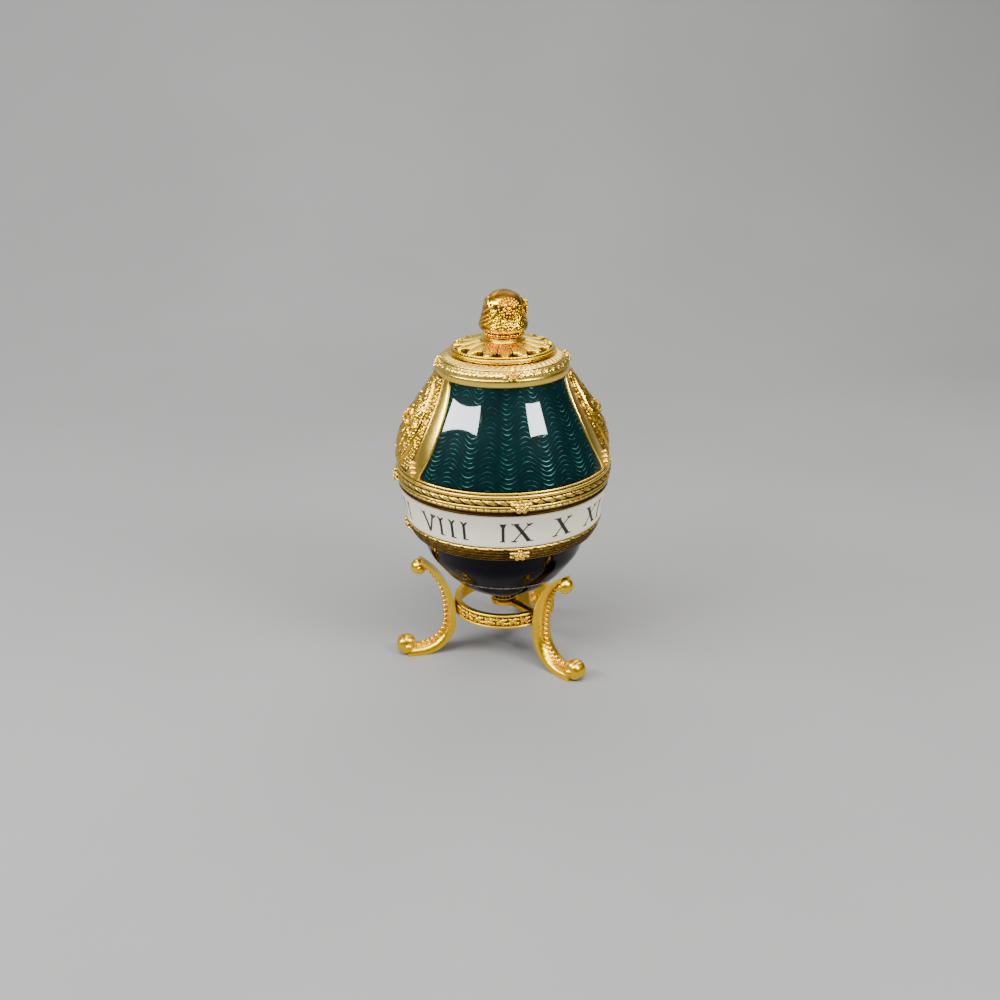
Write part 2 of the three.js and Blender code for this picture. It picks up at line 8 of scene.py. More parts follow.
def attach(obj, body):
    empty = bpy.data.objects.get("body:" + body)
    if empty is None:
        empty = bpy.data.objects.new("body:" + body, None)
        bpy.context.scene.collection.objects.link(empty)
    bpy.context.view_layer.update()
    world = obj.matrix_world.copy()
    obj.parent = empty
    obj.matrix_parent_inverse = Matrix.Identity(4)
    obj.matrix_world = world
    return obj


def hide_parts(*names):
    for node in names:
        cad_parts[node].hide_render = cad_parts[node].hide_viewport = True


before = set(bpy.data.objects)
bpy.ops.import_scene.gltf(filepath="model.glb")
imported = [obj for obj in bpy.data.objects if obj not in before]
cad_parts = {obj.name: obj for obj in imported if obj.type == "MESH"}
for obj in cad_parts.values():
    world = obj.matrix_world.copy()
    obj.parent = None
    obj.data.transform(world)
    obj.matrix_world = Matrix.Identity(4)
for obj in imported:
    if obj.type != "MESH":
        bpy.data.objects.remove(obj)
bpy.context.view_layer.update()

# Lengths are in millimetres and angles in degrees; azimuth 0 is -Y, positive towards +X
MM = 0.001
# Between a medallion's back and the egg, and the upper egg's wall
GAP, WALL = 0.3, 1.6
# Edges steeper than this are shaded sharp
SHARP_EDGE = 55.0

# Camera: seen from a little left of the front, its picture 1000 pixels wide
CAMERA_REACH = 331.2
CAMERA_HEIGHT_POINT = 60.34
CAMERA_ELEVATION = 19.702
CAMERA_LEAN = 0.407
CAMERA_AZIMUTH = -9.0
FOCAL_PIXELS = 1150.0
AXIS_PIXEL = (503.24, 456.08)
SENSOR_MM = 36.0


def add_camera():
    """The camera that sees the clock as the photograph does."""
    tilt = math.radians(CAMERA_ELEVATION)
    lean = math.radians(CAMERA_LEAN)
    across = math.atan2(AXIS_PIXEL[0] - 500.0, FOCAL_PIXELS)
    down = math.atan2(AXIS_PIXEL[1] - 500.0, math.hypot(FOCAL_PIXELS, AXIS_PIXEL[0] - 500.0))
    # Unit vectors of the view on the egg's axis, before it is turned to bring the axis off centre
    right0 = Vector((1, 0, 0))
    up0 = Vector((0, math.sin(tilt), math.cos(tilt)))
    away0 = Vector((0, math.cos(tilt), -math.sin(tilt)))
    right = right0 * math.cos(across) + up0 * math.sin(across) * math.sin(down)
    right += away0 * math.sin(across) * math.cos(down)
    up = up0 * math.cos(down) - away0 * math.sin(down)
    away = -right0 * math.sin(across) + up0 * math.cos(across) * math.sin(down)
    away += away0 * math.cos(across) * math.cos(down)
    basis = Matrix((right, up, -away)).transposed().to_4x4()
    place = Matrix.Translation(-away0 * CAMERA_REACH * MM) @ basis
    place = Matrix.Rotation(lean, 4, "Y") @ place
    place = Matrix.Translation((0, 0, CAMERA_HEIGHT_POINT * MM)) @ place
    place = Matrix.Rotation(math.radians(CAMERA_AZIMUTH), 4, "Z") @ place
    lens = bpy.data.cameras.new("photo_camera")
    lens.sensor_width = SENSOR_MM
    lens.lens = FOCAL_PIXELS / 1000.0 * SENSOR_MM
    lens.clip_start = 0.01
    camera = bpy.data.objects.new("photo_camera", lens)
    camera.matrix_world = place
    bpy.context.scene.collection.objects.link(camera)
    bpy.context.scene.camera = camera


# Materials

class Nodes:
    """A material being built, with short calls for the nodes it uses."""

    def __init__(self, name):
        self.material = bpy.data.materials.new(name)
        self.material.use_nodes = True
        self.tree = self.material.node_tree
        self.shader = self.tree.nodes["Principled BSDF"]

    def node(self, kind, **settings):
        made = self.tree.nodes.new(kind)
        for key, value in settings.items():
            setattr(made, key, value)
        return made

    def link(self, source, target):
        self.tree.links.new(source, target)

    def put(self, socket, value):
        if hasattr(value, "links"):
            self.link(value, socket)
        else:
            socket.default_value = value

    def math(self, operation, a, b=0.0):
        made = self.node("ShaderNodeMath", operation=operation)
        self.put(made.inputs[0], a)
        self.put(made.inputs[1], b)
        return made.outputs[0]

    def times(self, a, b):
        return self.math("MULTIPLY", a, b)

    def plus(self, a, b):
        return self.math("ADD", a, b)

    def minus(self, a, b):
        return self.math("SUBTRACT", a, b)

    def attribute(self, name):
        return self.node("ShaderNodeAttribute", attribute_name=name).outputs["Fac"]

    def noise(self, scale, detail=3.0, roughness=0.55):
        place = self.node("ShaderNodeTexCoord").outputs["Object"]
        made = self.node("ShaderNodeTexNoise")
        self.link(place, made.inputs["Vector"])
        made.inputs["Scale"].default_value = scale
        made.inputs["Detail"].default_value = detail
        made.inputs["Roughness"].default_value = roughness
        return made.outputs["Fac"]

    def mix(self, share, low, high):
        made = self.node("ShaderNodeMix", data_type="RGBA")
        self.put(made.inputs[0], share)
        self.put(made.inputs[6], low)
        self.put(made.inputs[7], high)
        return made.outputs[2]

    def spread(self, value, low, high, to_low=0.0, to_high=1.0):
        made = self.node("ShaderNodeMapRange", interpolation_type="SMOOTHSTEP")
        self.put(made.inputs["Value"], value)
        made.inputs["From Min"].default_value = low
        made.inputs["From Max"].default_value = high
        made.inputs["To Min"].default_value = to_low
        made.inputs["To Max"].default_value = to_high
        return made.outputs["Result"]

    def bump(self, height, strength, distance_mm):
        made = self.node("ShaderNodeBump")
        made.inputs["Strength"].default_value = strength
        made.inputs["Distance"].default_value = distance_mm * MM
        self.link(height, made.inputs["Height"])
        return made.outputs["Normal"]

    def set(self, **values):
        for key, value in values.items():
            self.put(self.shader.inputs[key.replace("_", " ")], value)


# Guilloche: degrees from wave to wave, degrees they are turned by, half their height, line to line
WAVE_TURN, WAVE_SHIFT, WAVE_TALL, WAVE_STEP = 22.5, 6.1, 1.5, 1.19
# Columns of painted highlight on the engraving: how many in a full turn, and degrees they are turned by
GLINT_COLUMN_RATE, GLINT_COLUMN_SHIFT = 7.8, 32.0
# Height of the bead low on the dark bowl, which carries a thin painted highlight
BOWL_BEAD_Z = 26.65


def rgb(red, green, blue):
    return (red, green, blue, 1.0)


def gilt_material(name, bright, hollow_shade_colour, roughness, grain, grain_scale):
    """Gilt metal with painted shade in its recesses, which are also rougher; slightly uneven, with a fine cast
    grain.
    """
    made = Nodes(name)
    hollow = made.attribute("hollow")
    cloud = made.noise(180.0)
    fine = made.noise(grain_scale, 2.0, 0.7)
    uneven = made.times(made.minus(cloud, 0.5), 0.22)
    # Painted shade: recesses, with random unevenness, darken towards the shade colour
    share = made.spread(made.plus(hollow, uneven), 0.06, 0.9)
    dull = tuple(c * 0.88 for c in bright[:3]) + (1.0,)
    tone = made.mix(made.spread(cloud, 0.3, 0.7), bright, dull)
    made.set(Base_Color=made.mix(share, tone, hollow_shade_colour), Metallic=1.0)
    rough = made.spread(cloud, 0.2, 0.8, roughness - 0.03, roughness + 0.04)
    made.set(Roughness=made.plus(made.times(share, 0.2), rough))
    made.set(Normal=made.bump(fine, grain, 0.12))
    return made.material


def green_enamel_material():
    """Deep teal enamel over engraved waves, with painted reflections on the lines, under a clear smooth surface.
    """
    made = Nodes("green_guilloche_enamel")
    turn = made.attribute("turn")
    rise = made.attribute("rise")
    wobble = made.times(made.minus(made.noise(60.0, 1.0), 0.5), 0.3)
    phase = made.times(made.plus(turn, WAVE_SHIFT), 2.0 * math.pi / WAVE_TURN)
    wave = made.math("COSINE", made.plus(phase, wobble))
    lines = made.math("DIVIDE", made.plus(rise, made.times(wave, WAVE_TALL)), WAVE_STEP)
    place = made.math("ABSOLUTE", made.minus(made.math("FRACT", lines), 0.5))
    groove = made.spread(place, 0.38, 0.49)
    # Painted highlight on the lines: brightest in the troughs, weaker on the crests, faint on the flanks between
    trough = made.math("POWER", made.math("MAXIMUM", wave, 0.0), 2.2)
    crest = made.math("POWER", made.math("MAXIMUM", made.times(wave, -1.0), 0.0), 2.4)
    wave_glint = made.math("MAXIMUM", trough, made.times(crest, 0.4))
    flicker = made.spread(made.noise(560.0, 2.5), 0.42, 0.60, 0.06, 1.0)
    depth = made.spread(made.noise(55.0, 1.0), 0.38, 0.62, 0.35, 1.0)
    # Painted highlight: the engraving's lines are brighter in two broad upright columns of each panel
    glint_column = made.math("COSINE", made.times(made.plus(turn, GLINT_COLUMN_SHIFT), math.radians(GLINT_COLUMN_RATE)))
    glint_column = made.spread(glint_column, -0.6, 0.7, 0.4, 1.0)
    wave_glint = made.plus(made.times(wave_glint, 0.98), 0.02)
    # The lines' brightness is painted reflection from the metal under the enamel
    lines_and_glint = made.times(made.times(groove, wave_glint), made.times(flicker, depth))
    lines_and_glint = made.times(lines_and_glint, glint_column)
    # The painted highlight fades to half towards the top
    lines_and_glint = made.times(lines_and_glint, made.spread(rise, 72.0, 84.0, 1.0, 0.5))
    cloud = made.spread(made.noise(120.0), 0.3, 0.7)
    ground = made.mix(cloud, rgb(0.0003, 0.0065, 0.0072), rgb(0.0007, 0.011, 0.0112))
    made.set(Base_Color=made.mix(lines_and_glint, ground, rgb(0.17, 0.62, 0.52)))
    made.set(Metallic=0.1, Roughness=0.45, IOR=1.1)
    made.set(Normal=made.bump(groove, 0.12, 0.1))
    made.set(Coat_Weight=1.0, Coat_Roughness=0.025, Coat_IOR=1.42)
    return made.material


def dark_enamel_material():
    """Near-black navy enamel with a thin painted highlight along the bead low down."""
    made = Nodes("dark_enamel")
    rise = made.attribute("rise")
    # Painted highlight along the bead, broken into sparkles by noise
    line = made.spread(made.math("ABSOLUTE", made.minus(rise, BOWL_BEAD_Z)), 0.28, 0.1)
    broken = made.spread(made.noise(1400.0, 2.0), 0.4, 0.62, 0.15, 1.0)
    cloud = made.spread(made.noise(60.0, 2.0), 0.35, 0.7)
    ground = made.mix(cloud, rgb(0.0006, 0.0006, 0.0025), rgb(0.0014, 0.0012, 0.006))
    made.set(Base_Color=made.mix(made.times(line, broken), ground, rgb(0.42, 0.42, 0.44)))
    made.set(Roughness=made.spread(made.noise(300.0), 0.3, 0.7, 0.05, 0.08), IOR=1.17)
    return made.material


def ivory_material():
    """Warm ivory enamel, faintly uneven, with painted shade near its top and bottom edges."""
    made = Nodes("ivory_enamel")
    cloud = made.spread(made.noise(55.0, 3.0), 0.3, 0.7)
    # Painted shade cast by the mouldings above and below the band
    edge = made.attribute("hollow")
    ground = made.mix(cloud, rgb(0.78, 0.735, 0.56), rgb(0.70, 0.655, 0.49))
    made.set(Base_Color=made.mix(made.spread(edge, 0.0, 1.0), ground, rgb(0.33, 0.29, 0.19)))
    made.set(Roughness=made.spread(made.noise(240.0), 0.3, 0.7, 0.3, 0.4))
    made.set(Normal=made.bump(made.noise(500.0, 2.0), 0.08, 0.1))
    return made.material


def numeral_material():
    """Dark brown-black paint, thin and rubbed in places."""
    made = Nodes("numeral_paint")
    rub = made.spread(made.noise(800.0, 3.0), 0.45, 0.75)
    made.set(Base_Color=made.mix(rub, rgb(0.006, 0.004, 0.002), rgb(0.022, 0.014, 0.006)))
    made.set(Roughness=made.spread(made.noise(400.0), 0.3, 0.7, 0.35, 0.5))
    return made.material


# Building meshes

def weave(nu, nv, close_u=False, close_v=False):
    """Quads of a grid of nu by nv points, point (u, v) having the number u * nv + v."""
    u = np.arange(nu if close_u else nu - 1)
    v = np.arange(nv if close_v else nv - 1)
    a, b = np.meshgrid(u, v, indexing="ij")
    a2, b2 = (a + 1) % nu, (b + 1) % nv
    return np.stack([a * nv + b, a2 * nv + b, a2 * nv + b2, a * nv + b2], -1).reshape(-1, 4)


def barrel(columns, rings):
    """Quads of a grid closed around, with its two end rings filled in by quads across them."""
    caps = []
    for end in (0, rings - 1):
        ring = np.arange(columns) * rings + end
        for k in range(columns // 2 - 1):
            cap = [ring[k], ring[k + 1], ring[columns - 2 - k], ring[columns - 1 - k]]
            caps.append(cap if end else cap[::-1])
    return np.concatenate([weave(columns, rings, True, False), np.array(caps)])


def bearings(count, shift=0.5):
    """Angles spread evenly over a full turn, the first one shifted by a share of a step."""
    return [(k + shift) * 2 * math.pi / count for k in range(count)]


class Shape:
    """Closed sheets gathered into one mesh, each point with its painted shade for recesses, its turn and rise."""

    def __init__(self):
        self.points, self.quads, self.hollow, self.total = [], [], [], 0

    def add(self, points, quads, hollow=0.0):
        points = np.asarray(points, float).reshape(-1, 3)
        p, q, r, s = (points[quads[:, k]] for k in range(4))
        volume = np.einsum("ij,ij", p, np.cross(q, r)) + np.einsum("ij,ij", p, np.cross(r, s))
        if volume < 0:
            quads = quads[:, ::-1]
        self.points.append(points)
        self.quads.append(quads + self.total)
        hollow = np.clip(np.asarray(hollow, float).reshape(-1), 0, 1)
        self.hollow.append(np.broadcast_to(hollow, (len(points),)))
        self.total += len(points)

    def join(self, other, matrix=None):
        """Add another shape's sheets, moved by a 4 by 4 matrix in millimetres."""
        for points, quads, hollow in zip(other.points, other.quads, other.hollow):
            start = quads.min()
            if matrix is not None:
                flat = np.asarray(matrix)
                points = points @ flat[:3, :3].T + flat[:3, 3]
            self.add(points, quads - start, hollow)

    def build(self, name, material, node=None, shift=0.0, facing=0.0):
        """Make the piece, moved along X by shift; facing is the azimuth its own middle has."""
        points = np.concatenate(self.points)
        quads = np.concatenate(self.quads)
        # Points on the axis are shared, and the quads that meet there become triangles
        pole = np.hypot(points[:, 0], points[:, 1]) < 1e-6
        keep = np.arange(len(points))
        for z in np.unique(points[pole, 2].round(5)):
            here = np.where(pole & (np.abs(points[:, 2] - z) < 1e-4))[0]
            keep[here] = here[0]
        quads = keep[quads]
        same = quads == np.roll(quads, -1, axis=1)
        plain = quads[~same.any(axis=1)]
        folded = quads[same.sum(axis=1) == 1]
        where = same[same.sum(axis=1) == 1].argmax(axis=1)
        rows = np.arange(len(folded))[:, None]
        triangles = folded[rows, (where[:, None] + np.arange(1, 4)) % 4]
        used = np.unique(np.concatenate([plain.ravel(), triangles.ravel()]))
        number = np.zeros(len(points), int)
        number[used] = np.arange(len(used))
        points = points[used] + np.array((shift, 0.0, 0.0))
        hollow = np.concatenate(self.hollow)[used]
        mesh = bpy.data.meshes.new(name)
        mesh.from_pydata((points * MM).tolist(), [], number[plain].tolist() + number[triangles].tolist())
        turn = np.degrees(np.arctan2(points[:, 0], -points[:, 1])) - facing
        turn = (turn + 180.0) % 360.0 - 180.0 + facing
        # The first attribute carries the painted shade for recesses
        for key, values in (("hollow", hollow), ("turn", turn), ("rise", points[:, 2])):
            layer = mesh.attributes.new(key, "FLOAT", "POINT")
            layer.data.foreach_set("value", np.ascontiguousarray(values, dtype=np.float32))
        mesh.shade_smooth()
        mesh.set_sharp_from_angle(angle=math.radians(SHARP_EDGE))
        mesh.materials.append(material)
        piece = bpy.data.objects.new(name, mesh)
        bpy.context.scene.collection.objects.link(piece)
        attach(piece, "root")
        if node:
            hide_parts(node)


def polar(radius, azimuth, z):
    a = np.radians(azimuth)
    return np.stack(np.broadcast_arrays(radius * np.sin(a), -radius * np.cos(a), z), -1)


def run(*parts, step):
    """A profile from corner points and arcs, cut into steps; each part is an array of [r, z]."""
    line = np.concatenate([np.atleast_2d(np.asarray(part, float)) for part in parts])
    out = [line[0]]
    for a, b in zip(line[:-1], line[1:]):
        count = max(1, int(math.ceil(np.hypot(*(b - a)) / step)))
        for k in range(1, count + 1):
            out.append(a + (b - a) * k / count)
    return np.array(out)


def bow(start, end, bulge, count):
    """Points of a rounded bead from start to end, bulging to the right of its direction."""
    start, end = np.array(start, float), np.array(end, float)
    t = np.linspace(0, math.pi, count)
    along = (1 - np.cos(t)) / 2
    side = np.array([end[1] - start[1], start[0] - end[0]])
    side = side / np.hypot(*side)
    return start + (end - start) * along[:, None] + side * bulge * np.sin(t)[:, None]


def rounded(points, count):
    """A smooth line through points, cut evenly by its length."""
    points = np.asarray(points, float)
    reach = np.concatenate([[0], np.cumsum(np.hypot(*np.diff(points, axis=0).T))])
    slope = np.gradient(points, reach, axis=0)
    out = []
    for s in np.linspace(0, reach[-1], count):
        k = min(np.searchsorted(reach, s, side="right") - 1, len(reach) - 2)
        h = reach[k + 1] - reach[k]
        t = (s - reach[k]) / h
        a, b = points[k], points[k + 1]
        ta, tb = slope[k] * h, slope[k + 1] * h
        point = (2 * t**3 - 3 * t**2 + 1) * a + (3 * t**2 - 2 * t**3) * b
        out.append(point + (t**3 - 2 * t**2 + t) * ta + (t**3 - t**2) * tb)
    return np.array(out)


def turned(shape, outer, inner, segments, relief=None):
    """A closed ring: an outer profile with a relief, and a plain inner one, as rows of [r, z].

    The relief gives how far each point stands out and how much painted shade it takes in recesses.
    """
    azimuth = np.arange(segments)[:, None] * 360.0 / segments
    step = np.gradient(outer, axis=0)
    length = np.hypot(step[:, 0], step[:, 1])
    length[length < 1e-9] = 1.0
    normal = np.stack([step[:, 1], -step[:, 0]], -1) / length[:, None]
    height, hollow = relief(azimuth, outer[None, :, 0], outer[None, :, 1]) if relief else (0.0, 0.0)
    height = np.broadcast_to(height, (segments, len(outer)))
    hollow = np.broadcast_to(hollow, (segments, len(outer)))
    radius = outer[:, 0] + height * normal[:, 0]
    radius[:, outer[:, 0] < 1e-6] = 0.0
    z = outer[:, 1] + height * normal[:, 1]
    z[:, outer[:, 0] < 1e-6] = outer[outer[:, 0] < 1e-6, 1]
    inner = np.asarray(inner, float).reshape(-1, 2)
    radius = np.concatenate([radius, np.broadcast_to(inner[:, 0], (segments, len(inner)))], 1)
    z = np.concatenate([z, np.broadcast_to(inner[:, 1], (segments, len(inner)))], 1)
    # The inner profile takes a light painted shade all over
    shade = np.concatenate([hollow, np.full((segments, len(inner)), 0.3)], 1)
    points = polar(radius, azimuth, z)
    shape.add(points, weave(segments, radius.shape[1], True, True), shade)


def sheet(shape, outer, inner, hollow=0.0):
    """A closed plate between two grids of points; the back may have fewer points upwards."""
    nu, nv = outer.shape[:2]
    backs = inner.shape[1]
    total = nv + backs
    both = np.concatenate([outer, inner[:, ::-1]], 1)
    quads = [weave(nu, total, False, True)]
    # The back's point that lies nearest to each of the front's
    behind = total - 1 - np.round(np.arange(nv) * (backs - 1) / (nv - 1)).astype(int)
    for u in (0, nu - 1):
        v = np.arange(nv - 1)
        base = u * total
        cap = np.stack([base + v, base + v + 1, base + behind[1:], base + behind[:-1]], -1)
        quads.append(cap if u == 0 else cap[:, ::-1])
    # The front takes the given painted shade; the back and ends take none
    shade = np.zeros((nu, total))
    shade[:, :nv] = hollow
    shape.add(both, np.concatenate(quads), shade)


def blob(shape, centre, size, columns, rows):
    """A rounded bead, its three half sizes given."""
    around = np.arange(columns)[:, None] * 2 * math.pi / columns
    up = np.linspace(-math.pi / 2, math.pi / 2, rows)[None, :]
    pinch = np.cos(up)
    pinch[:, [0, -1]] = 0.02
    x = size[0] * np.cos(around) * pinch
    y = size[1] * np.sin(around) * pinch
    z = np.broadcast_to(size[2] * np.sin(up), x.shape)
    points = np.stack([x, y, z], -1) + np.asarray(centre, float)
    shape.add(points, barrel(columns, rows))


def smooth(low, high, value):
    t = np.clip((value - low) / (high - low), 0, 1)
    return t * t * (3 - 2 * t)


def within(value, low, low_full, high_full, high):
    """1 from low_full to high_full, fading to 0 at low and at high."""
    return smooth(low, low_full, value) * smooth(high, high_full, value)


def ridge(value, middle, width):
    """1 at the middle, falling away smoothly to nothing about two widths from it."""
    return np.exp(-(((value - middle) / width) ** 2))


def half_round(value):
    """The height of a unit half circle: 1 at 0, and 0 from 1 on."""
    return np.sqrt(np.clip(1 - value * value, 0, 1))


def centred(value):
    """How far a value is from the nearest whole number, -0.5 to 0.5."""
    return value - np.round(value)


def leaf(x, y, centre, angle, length, width, height, bend=0.0):
    """Relief of one leaf on a plane: a rounded blade with a vein, its stalk at the centre point."""
    c, s = math.cos(angle), math.sin(angle)
    a = ((x - centre[0]) * c + (y - centre[1]) * s) / length
    b = (-(x - centre[0]) * s + (y - centre[1]) * c) / width
    b = b - bend * a * a
    inside = (a > 0) & (a < 1)
    blade = np.sin(math.pi * np.clip(a, 0, 1) ** 0.8) ** 0.75
    across = np.abs(b) / np.maximum(blade, 1e-3)
    body = half_round(across)
    lobes = 0.86 + 0.14 * np.cos(a * 5.5 * 2 * math.pi + across * 1.5)
    vein = 0.24 * np.exp(-((b * 5.5) ** 2))
    lift = height * (body * lobes - vein) * (0.55 + 0.45 * np.clip(a, 0, 1))
    return np.where(inside & (across < 1), lift, 0.0)


def disc(shape, x, y, height, back, depth, hollow, underside_shade):
    """A raised disc facing +Z from grids run outwards: its flat back is at -depth, and its back and edge take
    painted shade.
    """
    columns, rows = height.shape
    top = np.stack([x, y, height], -1)[:, ::-1]
    low = np.full((columns, 1), -depth)
    edge = np.stack([x[:, -1:] * back, y[:, -1:] * back, low], -1)
    centre = np.stack([low * 0.0, low * 0.0, low], -1)
    shade = np.concatenate([np.full((columns, 2), underside_shade), hollow[:, ::-1]], 1)
    shape.add(np.concatenate([centre, edge, top], 1), weave(columns, rows + 2, True, False), shade)


def flower_shape(size, petals, tall, columns=60, rows=12):
    """A flower facing +Z on a flat back at z = -0.35 size, its petals first towards +Y."""
    shape = Shape()
    turn = np.arange(columns)[:, None] * 2 * math.pi / columns
    share = np.linspace(0, 1, rows)[None, :]
    petal = np.abs(np.cos((turn - math.pi / 2) * petals / 2))
    reach = size * (0.66 + 0.34 * petal ** 0.6)
    radius = reach * share
    dome = half_round((share - 0.62) / 0.42)
    rim = tall * (0.25 + 0.55 * dome * (0.35 + 0.65 * petal))
    crease = 0.28 * tall * np.exp(-(((petal - 1.0) * 14) ** 2)) * within(share, 0.35, 0.6, 0.8, 1.0)
    button = tall * half_round(share / 0.3)
    height = np.maximum(rim - crease, button)
    # Painted shade in the flower's low parts
    hollow = smooth(0.62 * tall, 0.22 * tall, height) * 0.9
    x, y = radius * np.cos(turn), radius * np.sin(turn)
    x, y, height = (np.broadcast_to(v, (columns, rows)) for v in (x, y, height))
    disc(shape, x, y, height, 0.9, 0.35 * size, hollow, 0.6)
    return shape


def seat(radius, azimuth, z, tilt):
    """Matrix, in millimetres, that stands a flower's plane on a moulding and faces it outwards."""
    place = Matrix.Rotation(math.radians(azimuth), 4, "Z") @ Matrix.Translation((0, -radius, z))
    return place @ Matrix.Rotation(math.radians(90 - tilt), 4, "X")


def tied_flower(size):
    """A moulding's rosette: five petals, a ring of grains, and two short leaves either side."""
    shape = flower_shape(size, 5, size * 0.62)
    for a in bearings(10):
        place = (0.45 * size * math.cos(a), 0.45 * size * math.sin(a), 0.42 * size)
        blob(shape, place, (0.13 * size,) * 3, 8, 5)
    for side in (-1, 1):
        for lift in (-0.34, 0.34):
            place = (side * 1.12 * size, lift * size, 0.02 * size)
            blob(shape, place, (0.42 * size, 0.2 * size, 0.3 * size), 10, 7)
    return shape


def add_flowers(shape, radius, z, size, tilt):
    """Four tied flowers, a quarter turn apart."""
    one = tied_flower(size)
    for k in range(4):
        shape.join(one, seat(radius, k * 90.0, z, tilt))


# The upper egg's outline and the edges of what lies on it, as on the solids

OUTLINE = np.array([(30.2, 60.2), (28.6, 64.7), (27.0, 69.0), (24.8, 73.3),
                    (22.5, 77.6), (20.2, 81.9), (18.5, 85.8), (18.3, 87.2)])
OUTLINE_FIT = np.polyfit(OUTLINE[:, 1] - 73.0, OUTLINE[:, 0], 5)
PANEL_Z = (60.9, 85.6)
PANEL_WAIST_Z = 73.2
MEDALLION_Z = (61.4, 86.2)
MEDALLION_MIDDLE = 73.8


def egg(z):
    """The egg's radius at a height."""
    return np.polyval(OUTLINE_FIT, np.asarray(z, float) - 73.0)


def egg_lean(z):
    """The slope of the egg's side: degrees that its outward normal points up."""
    return math.degrees(math.atan2(float(egg(z - 0.5) - egg(z + 0.5)), 1.0))


def panel_half(z):
    """Half of an enamel panel's angle at a height, narrowest at its waist."""
    t = (z - PANEL_WAIST_Z) / (PANEL_Z[1] - PANEL_WAIST_Z)
    return 52.2 + 6.8 * t * t


def medallion_half(z):
    """Half of a medallion's angle at a height, widest at its middle."""
    t = (z - MEDALLION_MIDDLE) / (MEDALLION_Z[1] - MEDALLION_MIDDLE)
    return 24.6 - 5.6 * t * t


# The pieces, from the bowl up to the finial, and then the stand

def build_bowl(material):
    shape = Shape()
    outline = [(0, 18.3), (3, 18.4), (5.8, 18.9), (8.6, 19.7), (11.5, 21.2), (14.4, 23.25), (17.2, 26.0)]
    above = [(19.4, 28.65), (22.1, 32.4), (23.6, 35.9), (25.1, 39.2)]
    low = rounded(outline + above, 60)
    low[:, 0] += 0.22 * ridge(low[:, 1], BOWL_BEAD_Z, 0.22)
    inner = [(23.5, 39.2), (22.2, 35.8), (20.5, 32.6), (18.0, 29.0),
             (15.4, 26.2), (8.0, 21.4), (3.0, 20.0), (0, 19.9)]
    turned(shape, low, inner, 160)
    shape.build("bowl_of_dark_enamel", material, "lower_shell")


# How many times each moulding's ornament repeats around it
STRANDS, TIES, LOWER_TIES, EGGS, HATCHES, BEADS = 60, 96, 44, 44, 60, 15


def strand_ties(azimuth, z, count, slant, middle):
    """Slanting cuts across a moulding: 0 on a leaf's back, 1 in the cut between two."""
    phase = azimuth * count / 360.0 + (z - middle) * slant
    return ridge(centred(phase), 0.0, 0.085), centred(phase)


def build_equator(material):
    shape = Shape()
    outer = run([(30.25, 54.2), (30.0, 54.35), (29.95, 54.7), (30.1, 55.0), (30.35, 55.13)],
                [(30.2, 55.25)], bow((30.45, 55.4), (30.5, 56.05), 0.16, 7), [(30.25, 56.2)],
                bow((30.5, 56.35), (30.5, 56.95), 0.26, 8), [(30.25, 57.1)],
                bow((30.45, 57.2), (30.45, 58.7), 0.54, 14), [(30.25, 58.83)],
                bow((30.55, 58.97), (30.4, 59.83), 0.24, 8), [(30.4, 59.9)], step=0.15)

    def relief(azimuth, radius, z):
        face = radius > 30.2
        on = within(z, 57.15, 57.35, 58.6, 58.78) * face
        cut, phase = strand_ties(azimuth, z, STRANDS, 0.5, 57.9)
        strands = np.cos(2 * math.pi * (phase * 3 + (z - 57.9) * 0.5))
        notch = on * ridge(phase, 0.0, 0.24) * smooth(57.85, 57.45, z)
        height = on * (0.10 * np.cos(2 * math.pi * phase) + 0.07 * strands - 0.28 * cut) - 0.34 * notch
        dash, _ = strand_ties(azimuth, z, TIES, 0.0, 55.7)
        thread = within(z, 55.35, 55.5, 56.0, 56.12) * face
        height = height - 0.14 * thread * dash
        # Painted shade in the grooves, in the cove under the moulding, in the ties' cuts and notches, and along
        # the strands' lines
        grooves = sum(ridge(z, g, 0.17) for g in (55.25, 56.2, 57.1, 58.83))
        cove = smooth(55.12, 54.95, z) * 0.85 * (radius > 29.0)
        lines = on * (0.12 + smooth(-0.2, -0.9, strands) * 0.5)
        hollow = grooves * (radius > 30.1) + on * cut * 0.8 + notch + thread * dash * 0.8 + cove + lines
        return height, hollow

    turned(shape, outer, [(28.4, 59.9), (28.4, 54.2)], 640, relief)
    add_flowers(shape, 30.8, 57.0, 2.0, -2)
    shape.build("equator_moulding", material, "equator_ring")


